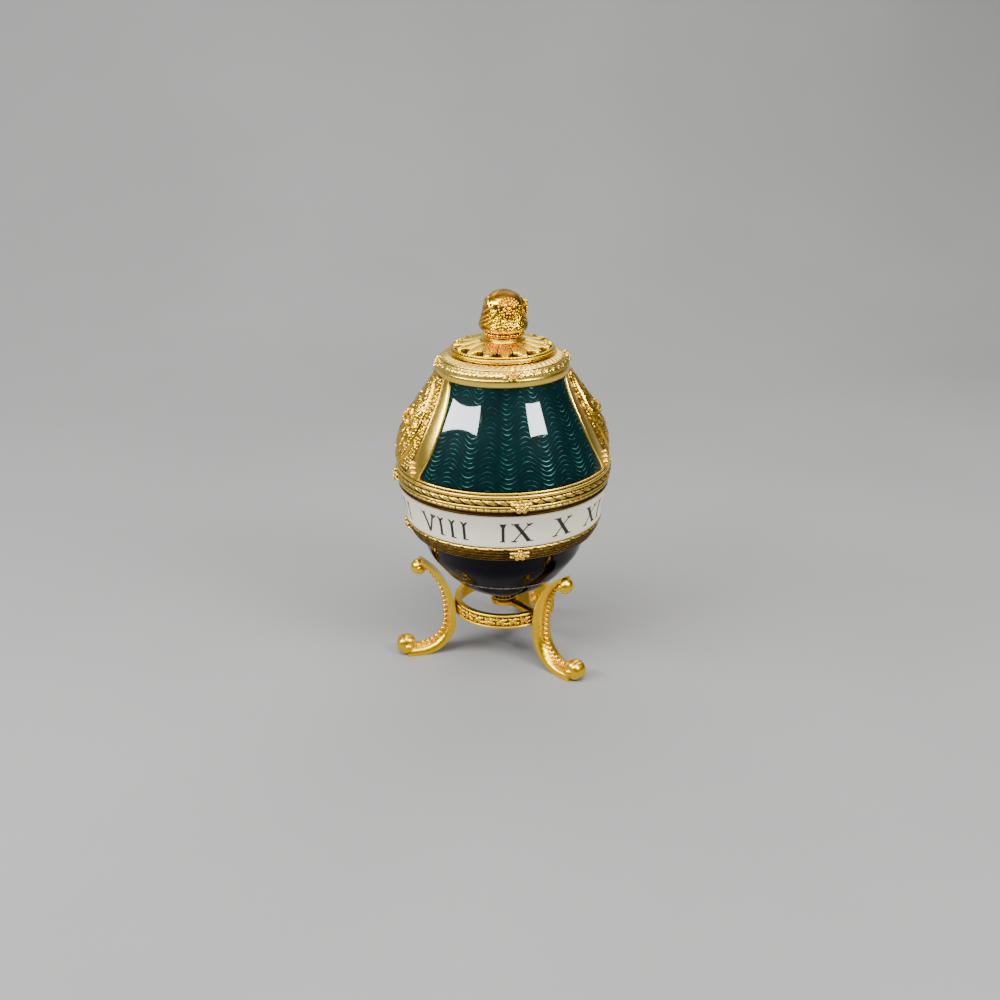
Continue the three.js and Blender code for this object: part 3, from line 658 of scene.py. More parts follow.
def build_lower_ring(material):
    shape = Shape()
    outer = run([(26.4, 39.5)], bow((26.5, 39.55), (26.8, 40.1), 0.18, 6), [(26.75, 40.25)],
                bow((26.95, 40.35), (27.3, 40.95), 0.2, 7), [(27.2, 41.1)],
                bow((27.45, 41.2), (27.75, 41.85), 0.2, 7), [(27.65, 42.0)],
                bow((27.85, 42.1), (28.05, 42.8), 0.18, 7), [(27.95, 42.95), (28.05, 43.1)],
                bow((28.2, 43.2), (28.25, 43.83), 0.32, 9), [(28.1, 43.9)], step=0.16)

    def relief(azimuth, radius, z):
        face = radius > 26.3
        on = within(z, 43.15, 43.28, 43.75, 43.88) * (radius > 28.1)
        _, phase = strand_ties(azimuth, z, LOWER_TIES, 0.25, 43.5)
        gap = ridge(phase, 0.0, 0.13)
        height = on * (0.06 * np.cos(2 * math.pi * phase) - 0.28 * gap)
        # Painted shade in the threads, varied by flecks, in the grooves and in the gaps between ties
        fleck = np.sin(azimuth * 1.7 + 3.0 * np.sin(z * 9.0)) * np.sin(azimuth * 0.83 + z * 2.0)
        threads = smooth(43.05, 42.9, z) * face
        grooves = sum(ridge(z, g, 0.13) for g in (40.22, 41.08, 41.98, 42.95))
        hollow = threads * (0.73 + 0.2 * fleck) + grooves * face + on * gap
        return height, hollow

    turned(shape, outer, [(26.6, 43.9), (23.7, 39.5)], 480, relief)
    add_flowers(shape, 28.0, 41.8, 1.85, -16)
    shape.build("lower_moulding", material, "lower_ring")


BAND_Z = (44.2, 53.9)


def band_radius(z):
    """The ivory band widens upwards, with a slight waist."""
    t = (z - BAND_Z[0]) / 9.7
    return 28.4 + 1.9 * t - 0.35 * np.sin(math.pi * np.clip(t, 0, 1))


def build_band(material):
    shape = Shape()
    z = np.linspace(*BAND_Z, 24)
    outer = np.stack([band_radius(z), z], -1)

    def relief(azimuth, radius, z):
        # Painted shade near the band's top and bottom edges
        return 0.0, (smooth(44.75, BAND_Z[0], z) + smooth(53.5, BAND_Z[1], z)) * 0.8

    turned(shape, outer, [(28.7, 53.9), (26.8, 44.2)], 240, relief)
    shape.build("hour_band", material, "numeral_band")


NUMERAL_Z = (45.9, 51.6)
# Width of a stem and height of a serif, and how far an I's stem stands from its left edge
STEM, FINE, STEM_PLACE = 0.80, 0.30, 1.0
# From one letter's left edge to the next letter's, and the drawn width of the last letter
CELL = {"I": 3.68, "V": 6.35, "X": 7.3}
LAST = {"I": 2.2, "V": 6.1, "X": 6.4}
# Left edges of the numerals that can be seen, in degrees of azimuth
SEEN = {"VIII": -59.4, "IX": -11.2, "X": 18.6, "XI": 41.4}
# The rest, spread evenly up to this azimuth
HIDDEN = ["XII", "I", "II", "III", "IV", "V", "VI", "VII"]
HIDDEN_END = 287.0
# The IX stands closer together than its cells, and a millimetre on the band is so many degrees
NINE_CLOSER = 0.6
DEGREES_PER_MM = 1.955
# How far paint stands off the band, more for each stroke of a letter, and its depth under it
PAINT_PROUD, PAINT_STEP, PAINT_UNDER = 0.05, 0.004, 0.15


def serif(left, right, foot):
    """A thin level bar that ends a stroke."""
    return [(left, foot), (right, foot), (right, foot + FINE), (left, foot + FINE)]


def letter(kind, forked):
    """Strokes of one letter as quads in millimetres, from its left edge and foot."""
    h = NUMERAL_Z[1] - NUMERAL_Z[0]
    x, half = STEM_PLACE, STEM / 2
    if kind == "I":
        stem = [(x - half, 0.0), (x - half, h - 0.9), (x + half, h - 0.9), (x + half, 0.0)]
        if forked:
            left = [(x - half, h - 1.1), (x - 0.95, h - 0.15), (x - 0.6, h), (x + half, h - 0.95)]
            right = [(x - half, h - 1.15), (x + 0.85, h), (x + 1.25, h - 0.2), (x + half, h - 1.2)]
            return [stem, left, right, serif(x - half, x + 1.2, 0.0)]
        wedge = [(x - half, h - 1.2), (x - 1.0, h), (x + 1.0, h), (x + half, h - 1.2)]
        return [stem, wedge, serif(x - 0.95, x + 0.5, 0.0)]
    if kind == "V":
        left = [(2.55, 0.0), (0.5, h), (1.35, h), (3.35, 0.0)]
        right = [(2.7, 0.0), (4.4, h), (5.0, h), (3.3, 0.0)]
        wedge = [(4.25, h - 1.0), (3.9, h), (5.4, h), (4.8, h - 1.0)]
        branch = [(4.6, h - 1.1), (5.7, h), (6.1, h - 0.2), (4.95, h - 1.1)]
        return [left, right, wedge, branch, serif(0.05, 1.95, h - FINE)]
    thick = [(4.6, 0.0), (0.55, h), (1.8, h), (5.85, 0.0)]
    thin = [(0.5, 0.0), (5.0, h - 0.1), (5.42, h - 0.1), (0.92, 0.0)]
    fork = [(4.65, h - 0.9), (5.6, h), (6.1, h - 0.1), (5.1, h - 0.9)]
    twig = [(4.6, h - 0.8), (4.2, h), (4.55, h), (5.0, h - 0.7)]
    ends = [serif(0.1, 2.3, h - FINE), serif(4.3, 6.4, 0.0), serif(0.1, 1.7, 0.0)]
    return [thick, thin, fork, twig] + ends


def numeral_width(name):
    """Degrees from a numeral's left edge to its right one."""
    return (sum(CELL[c] for c in name[:-1]) + LAST[name[-1]]) * DEGREES_PER_MM


def build_numerals(material):
    shape = Shape()
    places = dict(SEEN)
    start = places["XI"] + numeral_width("XI")
    room = HIDDEN_END - start - sum(numeral_width(name) for name in HIDDEN)
    for name in HIDDEN:
        places[name] = start + room / len(HIDDEN)
        start = places[name] + numeral_width(name)
    for name, left in places.items():
        offset = 0.0
        for kind in name:
            for n, quad in enumerate(letter(kind, name.count("I") > 1)):
                stroke(shape, quad, left, offset, PAINT_PROUD + PAINT_STEP * n)
            offset += CELL[kind] - (NINE_CLOSER if name == "IX" and kind == "I" else 0.0)
    shape.build("hour_numerals", material)


def stroke(shape, quad, left, offset, proud):
    """One flat stroke laid on the band: its two long sides run from the first to the second corner."""
    a, b, c, d = (np.array(corner, float) for corner in quad)
    t = np.linspace(0, 1, 7)[None, :, None]
    s = np.linspace(0, 1, 3)[:, None, None]
    flat = (a + (b - a) * t) * (1 - s) + (d + (c - d) * t) * s
    azimuth = left + (flat[..., 0] + offset) * DEGREES_PER_MM
    z = flat[..., 1] + NUMERAL_Z[0]
    radius = band_radius(z)
    sheet(shape, polar(radius + proud, azimuth, z), polar(radius - PAINT_UNDER, azimuth, z))


def build_frame(material):
    """The upper egg's gilt shell: neck mouldings, the strip at its foot, and the sides by the panels."""
    shape = Shape()
    outer = run([(18.4, 85.9)], bow((18.45, 86.0), (18.5, 88.0), 0.24, 9), [(18.4, 88.12)],
                bow((18.5, 88.25), (17.4, 90.05), 0.4, 14), [(17.2, 90.12)],
                bow((17.25, 90.17), (17.0, 90.45), 0.1, 5), [(16.85, 90.5), (15.0, 91.1)], step=0.16)

    def relief(azimuth, radius, z):
        on = within(z, 88.22, 88.36, 89.9, 90.06) * (radius > 17.3)
        phase = centred(azimuth * EGGS / 360.0)
        x = phase * 360.0 / EGGS * math.radians(1) * 18.2
        y = ((z - 88.2) / 1.9 - 0.5) * 2.2
        oval = np.sqrt((x / 0.8) ** 2 + (y / 0.86) ** 2)
        eggs = half_round(oval)
        shell = ridge(oval, 1.28, 0.13)
        dart = ridge(np.abs(phase), 0.5, 0.045) * smooth(90.0, 89.0, z)
        height = on * (0.3 * eggs + 0.14 * shell + 0.14 * dart - 0.2)
        hatch = np.cos(2 * math.pi * (azimuth * HATCHES / 360.0 + radius * 0.32))
        band = within(radius, 15.0, 15.2, 16.6, 16.8) * (z > 90)
        height = height + 0.08 * hatch * band
        # Painted shade in the grooves, between the eggs and darts, and in the hatching's cuts
        grooves = ridge(z, 88.12, 0.1) * 0.7 * (radius > 18)
        grooves = grooves + ridge(z, 90.11, 0.08) * 0.8 * (radius > 17.1)
        pit = np.clip(1 - eggs - shell - dart, 0, 1)
        hollow = grooves + on * pit * 0.6 + band * smooth(0.1, -0.8, hatch) * 0.4
        return height, hollow

    turned(shape, outer, [(12.6, 91.1), (12.6, 88.0), (16.9, 85.9)], 600, relief)
    add_flowers(shape, 18.0, 89.2, 1.9, 28)
    foot = run([(28.6, 60.2), (30.15, 60.2)], bow((30.2, 60.22), (30.08, 60.58), 0.05, 5),
               [(28.5, 60.6)], step=0.4)
    turned(shape, foot, [], 240)

    # The two sides between the enamel panels, with a smooth bar along each window
    z = np.linspace(60.45, 86.1, 79)[None, :]
    share = np.linspace(-1, 1, 141)[:, None]
    half = 90.0 - panel_half(np.clip(z, *PANEL_Z)) - 0.7
    azimuth = share * half
    base = egg(z)
    edge = (half - np.abs(azimuth)) * np.radians(1) * base
    inside = (medallion_half(z) + 0.5) * np.radians(1) * base
    width = half * np.radians(1) * base - inside
    place = edge / np.maximum(width, 0.5)
    bar = 0.2 * half_round(2 * place - 0.9) * (place < 1)
    bar += 0.24 * ridge((place - 1.0) * width, 0.0, 0.28)
    bar -= 0.3 * smooth(0.22, 0.0, edge)
    # Painted shade along the bars, past them beside the medallions, and at the panels' edges
    shade = np.clip(ridge((place - 0.9) * width, 0.0, 0.16) * 0.8 + smooth(1.04, 1.12, place) * 0.85
                    + 0.45 * smooth(0.25, 0.0, edge), 0, 1)
    for centre in (-90.0, 90.0):
        back = polar(base[:, ::6] - WALL, centre + azimuth[:, ::6], z[:, ::6])
        sheet(shape, polar(base + bar, centre + azimuth, z), back, shade)
    # A small leaf at each lower corner, where the bars meet the moulding below
    for centre in (-90.0, 90.0):
        for side in (-1, 1):
            for k in range(3):
                az = centre + side * (21.5 + 2.0 * k)
                tip = 61.3 + 1.1 * (2 - k)
                blob(shape, polar(float(egg(tip)) + 0.35, az, tip), (0.75, 0.75, 1.0), 10, 7)
    shape.build("upper_egg_frame", material, "upper_frame")


# How far an enamel panel's front and back lie under the egg's surface
PANEL_FRONT, PANEL_BACK = 0.35, 1.55


def build_panel(material, centre, name, node):
    shape = Shape()
    z = np.linspace(*PANEL_Z, 61)[None, :]
    azimuth = np.linspace(-1, 1, 121)[:, None] * panel_half(z)
    round_off = 0.05 * smooth(0.6, 0.0, np.minimum(z - PANEL_Z[0], PANEL_Z[1] - z))
    round_off = np.broadcast_to(round_off, azimuth.shape)
    surface = egg(z) - PANEL_FRONT - round_off
    back = polar(egg(z[:, ::6]) - PANEL_BACK, centre + azimuth[:, ::6], z[:, ::6])
    sheet(shape, polar(surface, centre + azimuth, z), back)
    shape.build(name, material, node, facing=centre)


# A medallion's oval: half width and half height on its relief's plane, then in degrees and in height
OVAL_WIDE, OVAL_TALL = 7.2, 12.4
OVAL_DEGREES, OVAL_RISE, OVAL_Z, RELIEF_STRETCH = 17.4, 11.6, 73.3, 1.12
# Rings of leaves: how many, their start and reach as shares of the oval, lift, and turn in leaves
LEAF_RINGS = ((15, 0.64, 0.34, 0.75, 0.0), (10, 0.36, 0.36, 1.0, 0.3), (8, 0.16, 0.28, 1.2, 0.0))
# Rings of curls: how many, their place as a share of the oval, size and lift
CURL_RINGS = ((15, 0.985, 0.42, 0.35), (10, 0.70, 0.5, 0.85), (8, 0.42, 0.48, 1.0))
BORDER_LEAVES, BORDER_LIFT, RIB_PLACE = 26, 0.42, 1.03


def medallion_height(x, y, oval_x, oval_y):
    """Relief of a medallion over the egg, from place across and up, and place in its oval."""
    rho = np.hypot(oval_x, oval_y)
    dome = 0.75 + 1.55 * np.clip(1 - rho ** 2, 0, 1) ** 0.8
    ground = np.where(rho < 1, dome, BORDER_LIFT)
    height = ground.copy()
    for ring, (count, start, reach, lift, turn) in enumerate(LEAF_RINGS):
        for k, a in enumerate(bearings(count, turn)):
            ux, uy = math.cos(a), math.sin(a)
            centre = (start * ux * OVAL_WIDE, start * uy * OVAL_TALL)
            tip = ((start + reach) * ux * OVAL_WIDE, (start + reach) * uy * OVAL_TALL)
            length = math.hypot(tip[0] - centre[0], tip[1] - centre[1])
            angle = math.atan2(tip[1] - centre[1], tip[0] - centre[0])
            width = (2 * math.pi * (start + reach * 0.6) * 9.4 / count) * 0.52
            bend = 0.55 if (k + ring) % 2 else -0.55
            height = np.maximum(height, ground + leaf(x, y, centre, angle, length, width, lift, bend))
    # Curls and grains between the leaves
    for count, share, size, lift in CURL_RINGS:
        for a in bearings(count):
            d = np.hypot(x - share * math.cos(a) * OVAL_WIDE, y - share * math.sin(a) * OVAL_TALL) / size
            height = np.maximum(height, ground + lift * half_round(d) * (0.75 + 0.25 * np.cos(d * 5)))
    rib = 1.3 - 0.42 * ((rho - RIB_PLACE) / 0.035) ** 2
    on_rib = np.abs(rho - RIB_PLACE) < 0.05
    height = np.where(on_rib, np.maximum(height, rib), height)
    # The border's leaves, pointing out from the rib
    for k, a in enumerate(bearings(BORDER_LEAVES)):
        ux, uy = math.cos(a), math.sin(a)
        centre = (1.07 * ux * OVAL_WIDE, 1.07 * uy * OVAL_TALL)
        angle = math.atan2(uy * OVAL_WIDE, ux * OVAL_TALL)
        bend = 0.5 if k % 2 else -0.5
        blade = leaf(x, y, centre, angle, 3.4, 0.95, 0.62, bend)
        across, up = 1.34 * math.cos(a + 0.12) * OVAL_WIDE, 1.2 * math.sin(a + 0.12) * OVAL_TALL
        grain = 0.4 * half_round(np.hypot(x - across, y - up) / 0.4)
        border = np.where(rho > 1.05, BORDER_LIFT + np.maximum(blade, grain), 0)
        height = np.maximum(height, border)
    # Small round grains cover the ground between the leaves
    row = np.floor(y / 0.95)
    grain = np.hypot(centred(x / 1.05 + 0.5 * (row % 2)) * 1.05, (y / 0.95 - row - 0.5) * 0.95) / 0.46
    height = np.maximum(height, ground + 0.3 * half_round(grain))
    matting = 0.05 * np.sin(x * 9.1 + np.sin(y * 7.3)) * np.sin(y * 8.7 + np.sin(x * 6.1))
    # Painted shade on the low ground between the leaves and grains
    hollow = 0.85 * smooth(0.26, 0.02, height - ground) * ~on_rib
    return height + matting, hollow


def build_medallion(material, centre, name, node):
    """A relief laid on the egg's side, its back plain and coarser."""
    shape = Shape()
    z = np.linspace(*MEDALLION_Z, 193)[None, :]
    share = np.linspace(-1, 1, 150)[:, None]
    azimuth = share * medallion_half(z)
    azimuth = azimuth + 0.35 * np.sign(share) * np.cos(z * 2.3) * np.abs(share) ** 6
    z = np.broadcast_to(z, azimuth.shape)
    x = np.radians(azimuth) * egg(z)
    y = (z - OVAL_Z) * RELIEF_STRETCH
    height, hollow = medallion_height(x, y, azimuth / OVAL_DEGREES, (z - OVAL_Z) / OVAL_RISE)
    edge = np.minimum(1 - np.abs(share), np.minimum(z - MEDALLION_Z[0], MEDALLION_Z[1] - z) / 12)
    height = GAP + (height - GAP) * smooth(-0.02, 0.03, edge)
    front = polar(egg(z) + height, centre + azimuth, z)
    back = polar(egg(z[:, ::12]) + GAP * 0.8, centre + azimuth[:, ::12], z[:, ::12])
    sheet(shape, front, back, hollow)
    # The flower on the oval's middle, with a smaller one in it
    lean = egg_lean(MEDALLION_MIDDLE)
    radius = float(egg(MEDALLION_MIDDLE)) + 2.5
    shape.join(flower_shape(2.5, 8, 0.95, 80, 12), seat(radius, centre, 74.2, lean))
    shape.join(flower_shape(1.25, 5, 0.75, 50, 8), seat(radius + 0.55, centre, 74.4, lean))
    shape.build(name, material, node)


# Leaf lobes on the lid, and the azimuth of a notch between two
LID_LEAVES, LID_TURN = 16, 5.9


def build_lid(material):
    shape = Shape()
    outer = run([(14.4, 91.4)], bow((14.5, 91.42), (14.5, 91.62), 0.08, 5), [(14.3, 91.72)],
                bow((14.5, 91.82), (14.5, 92.5), 0.32, 10), [(14.1, 92.6)],
                bow((14.2, 92.68), (14.15, 93.08), 0.18, 7), [(13.85, 93.1)],
                [(13.6, 93.08), (12.5, 93.3), (11.3, 93.6), (10.2, 93.88), (8.2, 94.38), (6.5, 94.76)],
                [(6.2, 94.8), (6.05, 94.98), (5.3, 95.7)], step=0.15)

    def relief(azimuth, radius, z):
        phase = centred((azimuth - LID_TURN) * LID_LEAVES / 360.0)
        from_notch = np.abs(phase)
        from_middle = 0.5 - from_notch
        leafy = within(radius, 13.65, 13.5, 6.6, 6.2)
        grow = smooth(6.0, 12.5, radius)
        crown = (0.12 + 0.26 * grow) * (1 - (2 * from_middle) ** 2)
        vein = 0.1 * ridge(from_middle, 0.0, 0.03) * smooth(12.8, 12.2, radius)
        comb = 0.035 * np.cos(from_middle * 2 * math.pi * 9) * grow
        open_to = 0.34 * np.clip((radius - 10.9) / 2.2, 0, 1) ** 0.7
        notch = smooth(0.035, -0.035, from_notch - open_to) * within(radius, 10.8, 11.2, 13.6, 13.7)
        lip = 0.16 * ridge(from_notch - open_to, 0.075, 0.045) * smooth(10.8, 11.6, radius)
        cleft = ridge(from_notch, 0.0, 0.035) * smooth(11.4, 11.0, radius)
        rays = smooth(0.35, 0.95, np.cos(np.radians(azimuth - LID_TURN) * 80))
        rays = rays * smooth(12.8, 11.8, radius)
        height = leafy * (crown + lip + comb - vein - 0.24 * cleft - 0.05 * rays) - 0.85 * notch
        beads = np.cos(np.radians(azimuth) * 96)
        upper = within(z, 92.64, 92.72, 93.0, 93.08) * (radius > 14.0)
        grooves = ridge(z, 92.6, 0.08) * (radius > 13.9)
        grooves = grooves + ridge(z, 91.72, 0.07) * (radius > 14.2)
        seam = ridge(radius, 6.18, 0.14) + ridge(radius, 13.75, 0.12)
        # Painted shade in the notches, grooves, seams, clefts, veins and rays
        hollow = notch + grooves + 0.8 * seam + leafy * (0.6 * cleft + 0.2 * vein / 0.1 + 0.5 * rays)
        return height + 0.04 * upper * beads, np.clip(hollow, 0, 1)

    inner = [(0, 95.7), (0, 92.0), (11.4, 92.0), (11.4, 89.8), (12.2, 89.8), (12.3, 91.4)]
    turned(shape, outer, inner, 560, relief)
    shape.build("lid_of_leaves", material, "lid")


def shield(width, tall, depth):
    """A carved oval facing +Z: petals over a dome, small grains round its rim, zigzag rows below."""
    shape = Shape()
    columns, rows = 64, 14
    turn = np.arange(columns)[:, None] * 2 * math.pi / columns
    share = np.linspace(0, 1, rows)[None, :]
    dome = np.sqrt(np.clip(1 - 0.9 * share ** 2, 0, 1)) * depth
    x, y = width * share * np.cos(turn), tall * share * np.sin(turn)
    x, y, dome = np.broadcast_arrays(x, y, dome)
    # The carved oval takes painted shade all over; its grains and petals take none
    disc(shape, x, y, dome, 1.0, 0.5, np.full(x.shape, 0.75), 0.75)

    def bud(across, up, size, long=1.0):
        lift = depth * math.sqrt(max(0.1, 1 - 0.9 * (across ** 2 + up ** 2)))
        half = (size * width * long, size * tall, size * width * 0.9)
        blob(shape, (across * width, up * tall, lift), half, 12, 7)

    for a in bearings(22):
        bud(0.9 * math.cos(a), 0.9 * math.sin(a), 0.1)
    for k in range(7):
        a = math.radians(15 + 25 * k)
        bud(0.64 * math.cos(a), 0.1 + 0.55 * math.sin(a), 0.13)
    for petal in ((-0.34, 0.22, 0.22, 1.1), (0.08, 0.3, 0.2), (0.4, 0.08, 0.17),
                  (-0.05, -0.08, 0.16, 1.7), (-0.5, -0.12, 0.14)):
        bud(*petal)
    for row, up in enumerate((-0.36, -0.6)):
        for k in range(6 - row):
            bud((k - 2.5 + 0.5 * row) * 0.25, up + 0.07 * (k % 2), 0.105, 1.2)
    return shape


# The azimuth that the finial's front faces, and how far it stands off the lid's middle
FINIAL_FACE, FINIAL_SHIFT = 6.0, 0.4


def build_finial(material):
    shape = Shape()
    lower = [(5.2, 97.2), (6.1, 97.5), (6.75, 98.4), (6.5, 99.9), (6.1, 101.3), (5.8, 102.6)]
    upper = [(5.45, 104.0), (5.2, 105.4), (4.75, 106.3), (3.8, 107.3), (2.4, 108.15), (1.1, 108.52), (0.0, 108.6)]
    body = rounded(lower + upper, 110)
    foot = run([(5.1, 96.0)], bow((5.2, 96.05), (5.2, 97.0), 0.32, 10), [(5.1, 97.1)], step=0.15)
    outer = np.concatenate([foot, body])

    def relief(azimuth, radius, z):
        local = (azimuth - FINIAL_FACE + 180.0) % 360.0 - 180.0
        quarter = (azimuth - FINIAL_FACE + 45.0) % 90.0 - 45.0
        wide = np.maximum(radius, 2.0) * math.radians(1)
        x = azimuth * wide
        # Granular crust over the lower front and back, smooth scrolls on the sides, a smooth cap
        crust = smooth(97.5, 98.0, z) * smooth(103.6, 102.4, z + 0.012 * np.abs(quarter))
        facing = np.maximum(smooth(52, 40, np.abs(local)), smooth(128, 140, np.abs(local)))
        crust = crust * facing
        grain = np.sin(x * 5.1 + 2.2 * np.sin(z * 3.3)) * np.sin(z * 5.7 + 1.9 * np.sin(x * 2.7))
        grain = grain + 0.6 * np.sin(x * 10.7 + z * 3.1) * np.sin(z * 11.3 - x * 3.7)
        height = 0.11 * grain * crust
        # Two scrolls that sweep up from the foot beside each crusted face
        side = within(z, 97.6, 98.2, 104.0, 105.5) * (1 - facing)
        sweep = z - 98.7 - 0.055 * np.abs(np.abs(local) - 90.0)
        scroll = np.zeros(np.broadcast_shapes(azimuth.shape, z.shape))
        for step in (0.0, 1.15, 2.3, 3.9):
            scroll = scroll + ridge(sweep, step, 0.26)
        height = height + side * (0.34 * scroll - 0.1)
        arch_z = 101.6 + 5.0 * np.cos(np.radians(quarter * 1.9))
        arch = ridge(z, arch_z, 0.34) * smooth(98.4, 99.4, z)
        height = height + 0.26 * arch
        beads = np.abs(np.cos(np.radians(azimuth) * BEADS))
        collar = within(z, 96.1, 96.3, 96.8, 96.98) * (radius > 5.0)
        height = height + collar * (0.3 * np.sqrt(beads) - 0.16)
        cap = smooth(106.3, 107.0, z)
        # Painted shade between the collar's beads, in the crust's pits, between the scrolls, over the smooth cap
        # (most towards its front), under the arches and in the groove above the foot bead
        hollow = 0.75 * collar * smooth(0.5, 0.15, beads) + 0.6 * crust * smooth(-0.1, -0.6, grain)
        hollow = hollow + side * 0.6 * smooth(0.35, 0.05, scroll)
        hollow = hollow + cap * (0.35 + 0.4 * smooth(75, 45, np.abs(local)))
        hollow = hollow + 0.7 * ridge(z, arch_z - 0.7, 0.25) * smooth(98.4, 99.4, z)
        hollow = hollow + 0.85 * ridge(z, 97.12, 0.14) * (radius > 4.9)
        return height, hollow

    turned(shape, outer, [(0.0, 96.0)], 300, relief)
    for azimuth in (FINIAL_FACE, FINIAL_FACE + 180.0):
        shape.join(shield(3.2, 2.8, 1.5), seat(5.0, azimuth, 104.4, 16))
    shape.join(shield(2.2, 2.2, 1.3), seat(5.3, 98.0, 103.4, 10))
    for k, (azimuth, z) in enumerate(((92.0, 104.9), (97.0, 103.9), (94.0, 102.8), (101.0, 105.0))):
        blob(shape, polar(6.4 - 0.1 * k, azimuth, z), (0.5, 0.5, 0.5), 14, 9)
    shape.build("crown_finial", material, "finial", shift=FINIAL_SHIFT)


# Azimuths of the legs, and of the rosettes between them
LEG_TURNS = {"right": 33.3, "left": -86.7, "back": 153.3}
ROSETTE_TURNS = (-26.7, 93.3, 213.3)
# Height of the middle of the arms that carry the seat
ARM_Z = 14.8


def build_stand_ring(material):
    """The ring with its frieze and rosettes, and the seat on two arms."""
    shape = Shape()
    outer = run([(13.4, 12.3), (14.95, 12.3)], bow((15.05, 12.35), (15.05, 12.88), 0.12, 6),
                [(14.8, 12.98), (14.75, 13.05), (14.65, 15.6), (14.7, 15.72)],
                bow((14.85, 15.8), (14.85, 16.3), 0.12, 6), [(14.75, 16.4), (13.4, 16.4)], step=0.14)
    # Length of one of the frieze's 26 cells
    cell = 93.0 / 26
    leaves = ((1, 1, 0.5, 1.5), (-1, 1, 0.7, 1.3), (1, -1, 0.35, 1.7), (-1, -1, 0.9, 1.1))
    buds = ((0.0, 0.0, 0.42), (0.5, 0.25, 0.36), (-0.5, -0.25, 0.36), (0.27, -0.36, 0.24),
            (-0.27, 0.36, 0.24), (0.22, 0.4, 0.2), (-0.22, -0.4, 0.2))

    def relief(azimuth, radius, z):
        on = within(z, 13.0, 13.15, 15.55, 15.68) * (radius > 14.3)
        x, y = np.broadcast_arrays(np.radians(azimuth) * 14.8, z - 14.33)
        local = centred(x / cell) * cell
        flip = np.where(np.round(x / cell) % 2 == 0, 1.0, -1.0)
        winding = y - 0.5 * np.sin(math.pi * x / cell)
        height = 0.34 * ridge(winding, 0.0, 0.16)
        for side, lift, angle, long in leaves:
            part = leaf(local * side, y * lift * flip, (0.1, 0.08), angle, long, 0.55, 0.62)
            height = np.maximum(height, part)
        for across, up, size in buds:
            off = np.hypot(centred(x / cell - across) * cell, y - up * 2.5)
            height = np.maximum(height, 1.2 * size * half_round(off / size))
        # Painted shade on the frieze's low ground and along its two edge lines
        hollow = on * smooth(0.26, 0.06, height)
        lines = ridge(z, 13.0, 0.07) + ridge(z, 15.7, 0.07)
        return on * height, np.clip(hollow + 0.8 * lines, 0, 1) * (radius > 14.3)

    turned(shape, outer, [], 600, relief)
    for azimuth in ROSETTE_TURNS:
        shape.join(flower_shape(1.35, 6, 0.75, 48, 8), seat(14.75, azimuth, 14.33, 0))
    seat_edge = bow((4.0, 14.1), (4.0, 15.5), 0.12, 6)
    turned(shape, run([(0, 14.0), (3.7, 14.0)], seat_edge, [(3.8, 15.6), (0, 15.6)], step=0.6), [], 64)
    for azimuth in (LEG_TURNS["right"], LEG_TURNS["back"]):
        along = np.linspace(0.0, 13.8, 12)[:, None]
        across = np.linspace(-1.2, 1.2, 7)[None, :]
        swell = 0.8 * (1 - 0.25 * (across / 1.2) ** 4)
        a = math.radians(azimuth)
        out, side = np.array([math.sin(a), -math.cos(a)]), np.array([math.cos(a), math.sin(a)])
        xy = along[..., None] * out + across[..., None] * side
        swell = np.broadcast_to(swell, xy.shape[:2])[..., None]
        top, bottom = (np.concatenate([xy, ARM_Z + sign * swell], -1) for sign in (1, -1))
        # The arms take a light painted shade
        sheet(shape, top, bottom, 0.2)
    shape.build("stand_ring_with_seat", material, "stand_ring")


def build_boss(material):
    shape = Shape()
    outer = run([(0, 15.9), (3.7, 15.9)], bow((3.9, 15.95), (3.8, 16.7), 0.12, 6), [(3.6, 16.8)],
                bow((3.65, 16.85), (3.5, 17.4), 0.12, 6),
                [(3.4, 17.5), (3.3, 18.0), (0, 18.0)], step=0.25)

    def relief(azimuth, radius, z):
        flutes = np.cos(np.radians(azimuth) * 20)
        on = (radius > 3.3) * within(z, 16.0, 16.2, 17.3, 17.5)
        # Painted shade between the flutes and in the groove
        hollow = on * smooth(0, -1, flutes) * 0.7 + ridge(z, 16.8, 0.1) * 0.7
        return 0.06 * on * flutes, hollow

    turned(shape, outer, [], 160, relief)
    shape.build("seat_boss_gilt", material, "seat_boss")


# A leg's back: its reach where it stands upright, its two curves' radii, and the height between them
LEG_BACK, LOWER_CURVE, UPPER_CURVE, STRAIGHT_Z = 15.4, 10.8, 21.6, 12.5
UPPER_SWEEP = 56.0
FOOT_RHO, FOOT_RADIUS = 30.2, 2.95
# From one cross bead to the next
PEARL_PITCH = 1.47


def leg_line(count):
    """The leg's back in its own plane, cut evenly: reach from the axis, height, and direction."""
    flat = [(FOOT_RHO, 0.0, 0.0), (LEG_BACK + LOWER_CURVE, 0.0, 0.0)]
    low = [(LEG_BACK + LOWER_CURVE * (1 - math.sin(a)), LOWER_CURVE * (1 - math.cos(a)), a)
           for a in np.linspace(0, math.pi / 2, 40)[1:]]
    high = [(LEG_BACK + UPPER_CURVE * (1 - math.cos(a)), STRAIGHT_Z + UPPER_CURVE * math.sin(a),
             math.pi / 2 + a) for a in np.linspace(0, math.radians(UPPER_SWEEP), 40)]
    line = np.array(flat + low + high)
    reach = np.concatenate([[0], np.cumsum(np.hypot(np.diff(line[:, 0]), np.diff(line[:, 1])))])
    even = np.linspace(0, reach[-1], count)
    return np.stack([np.interp(even, reach, line[:, k]) for k in range(3)], -1), reach[-1]


def leg_ridge(share):
    """Thickness of the leg at its ridge, thinner from half way up."""
    return 2.6 - 1.4 * smooth(0.5, 1.0, share)


def leg_half(share):
    """Half the leg's width."""
    return (6.3 + (4.6 - 6.3) * share ** 4) / 2


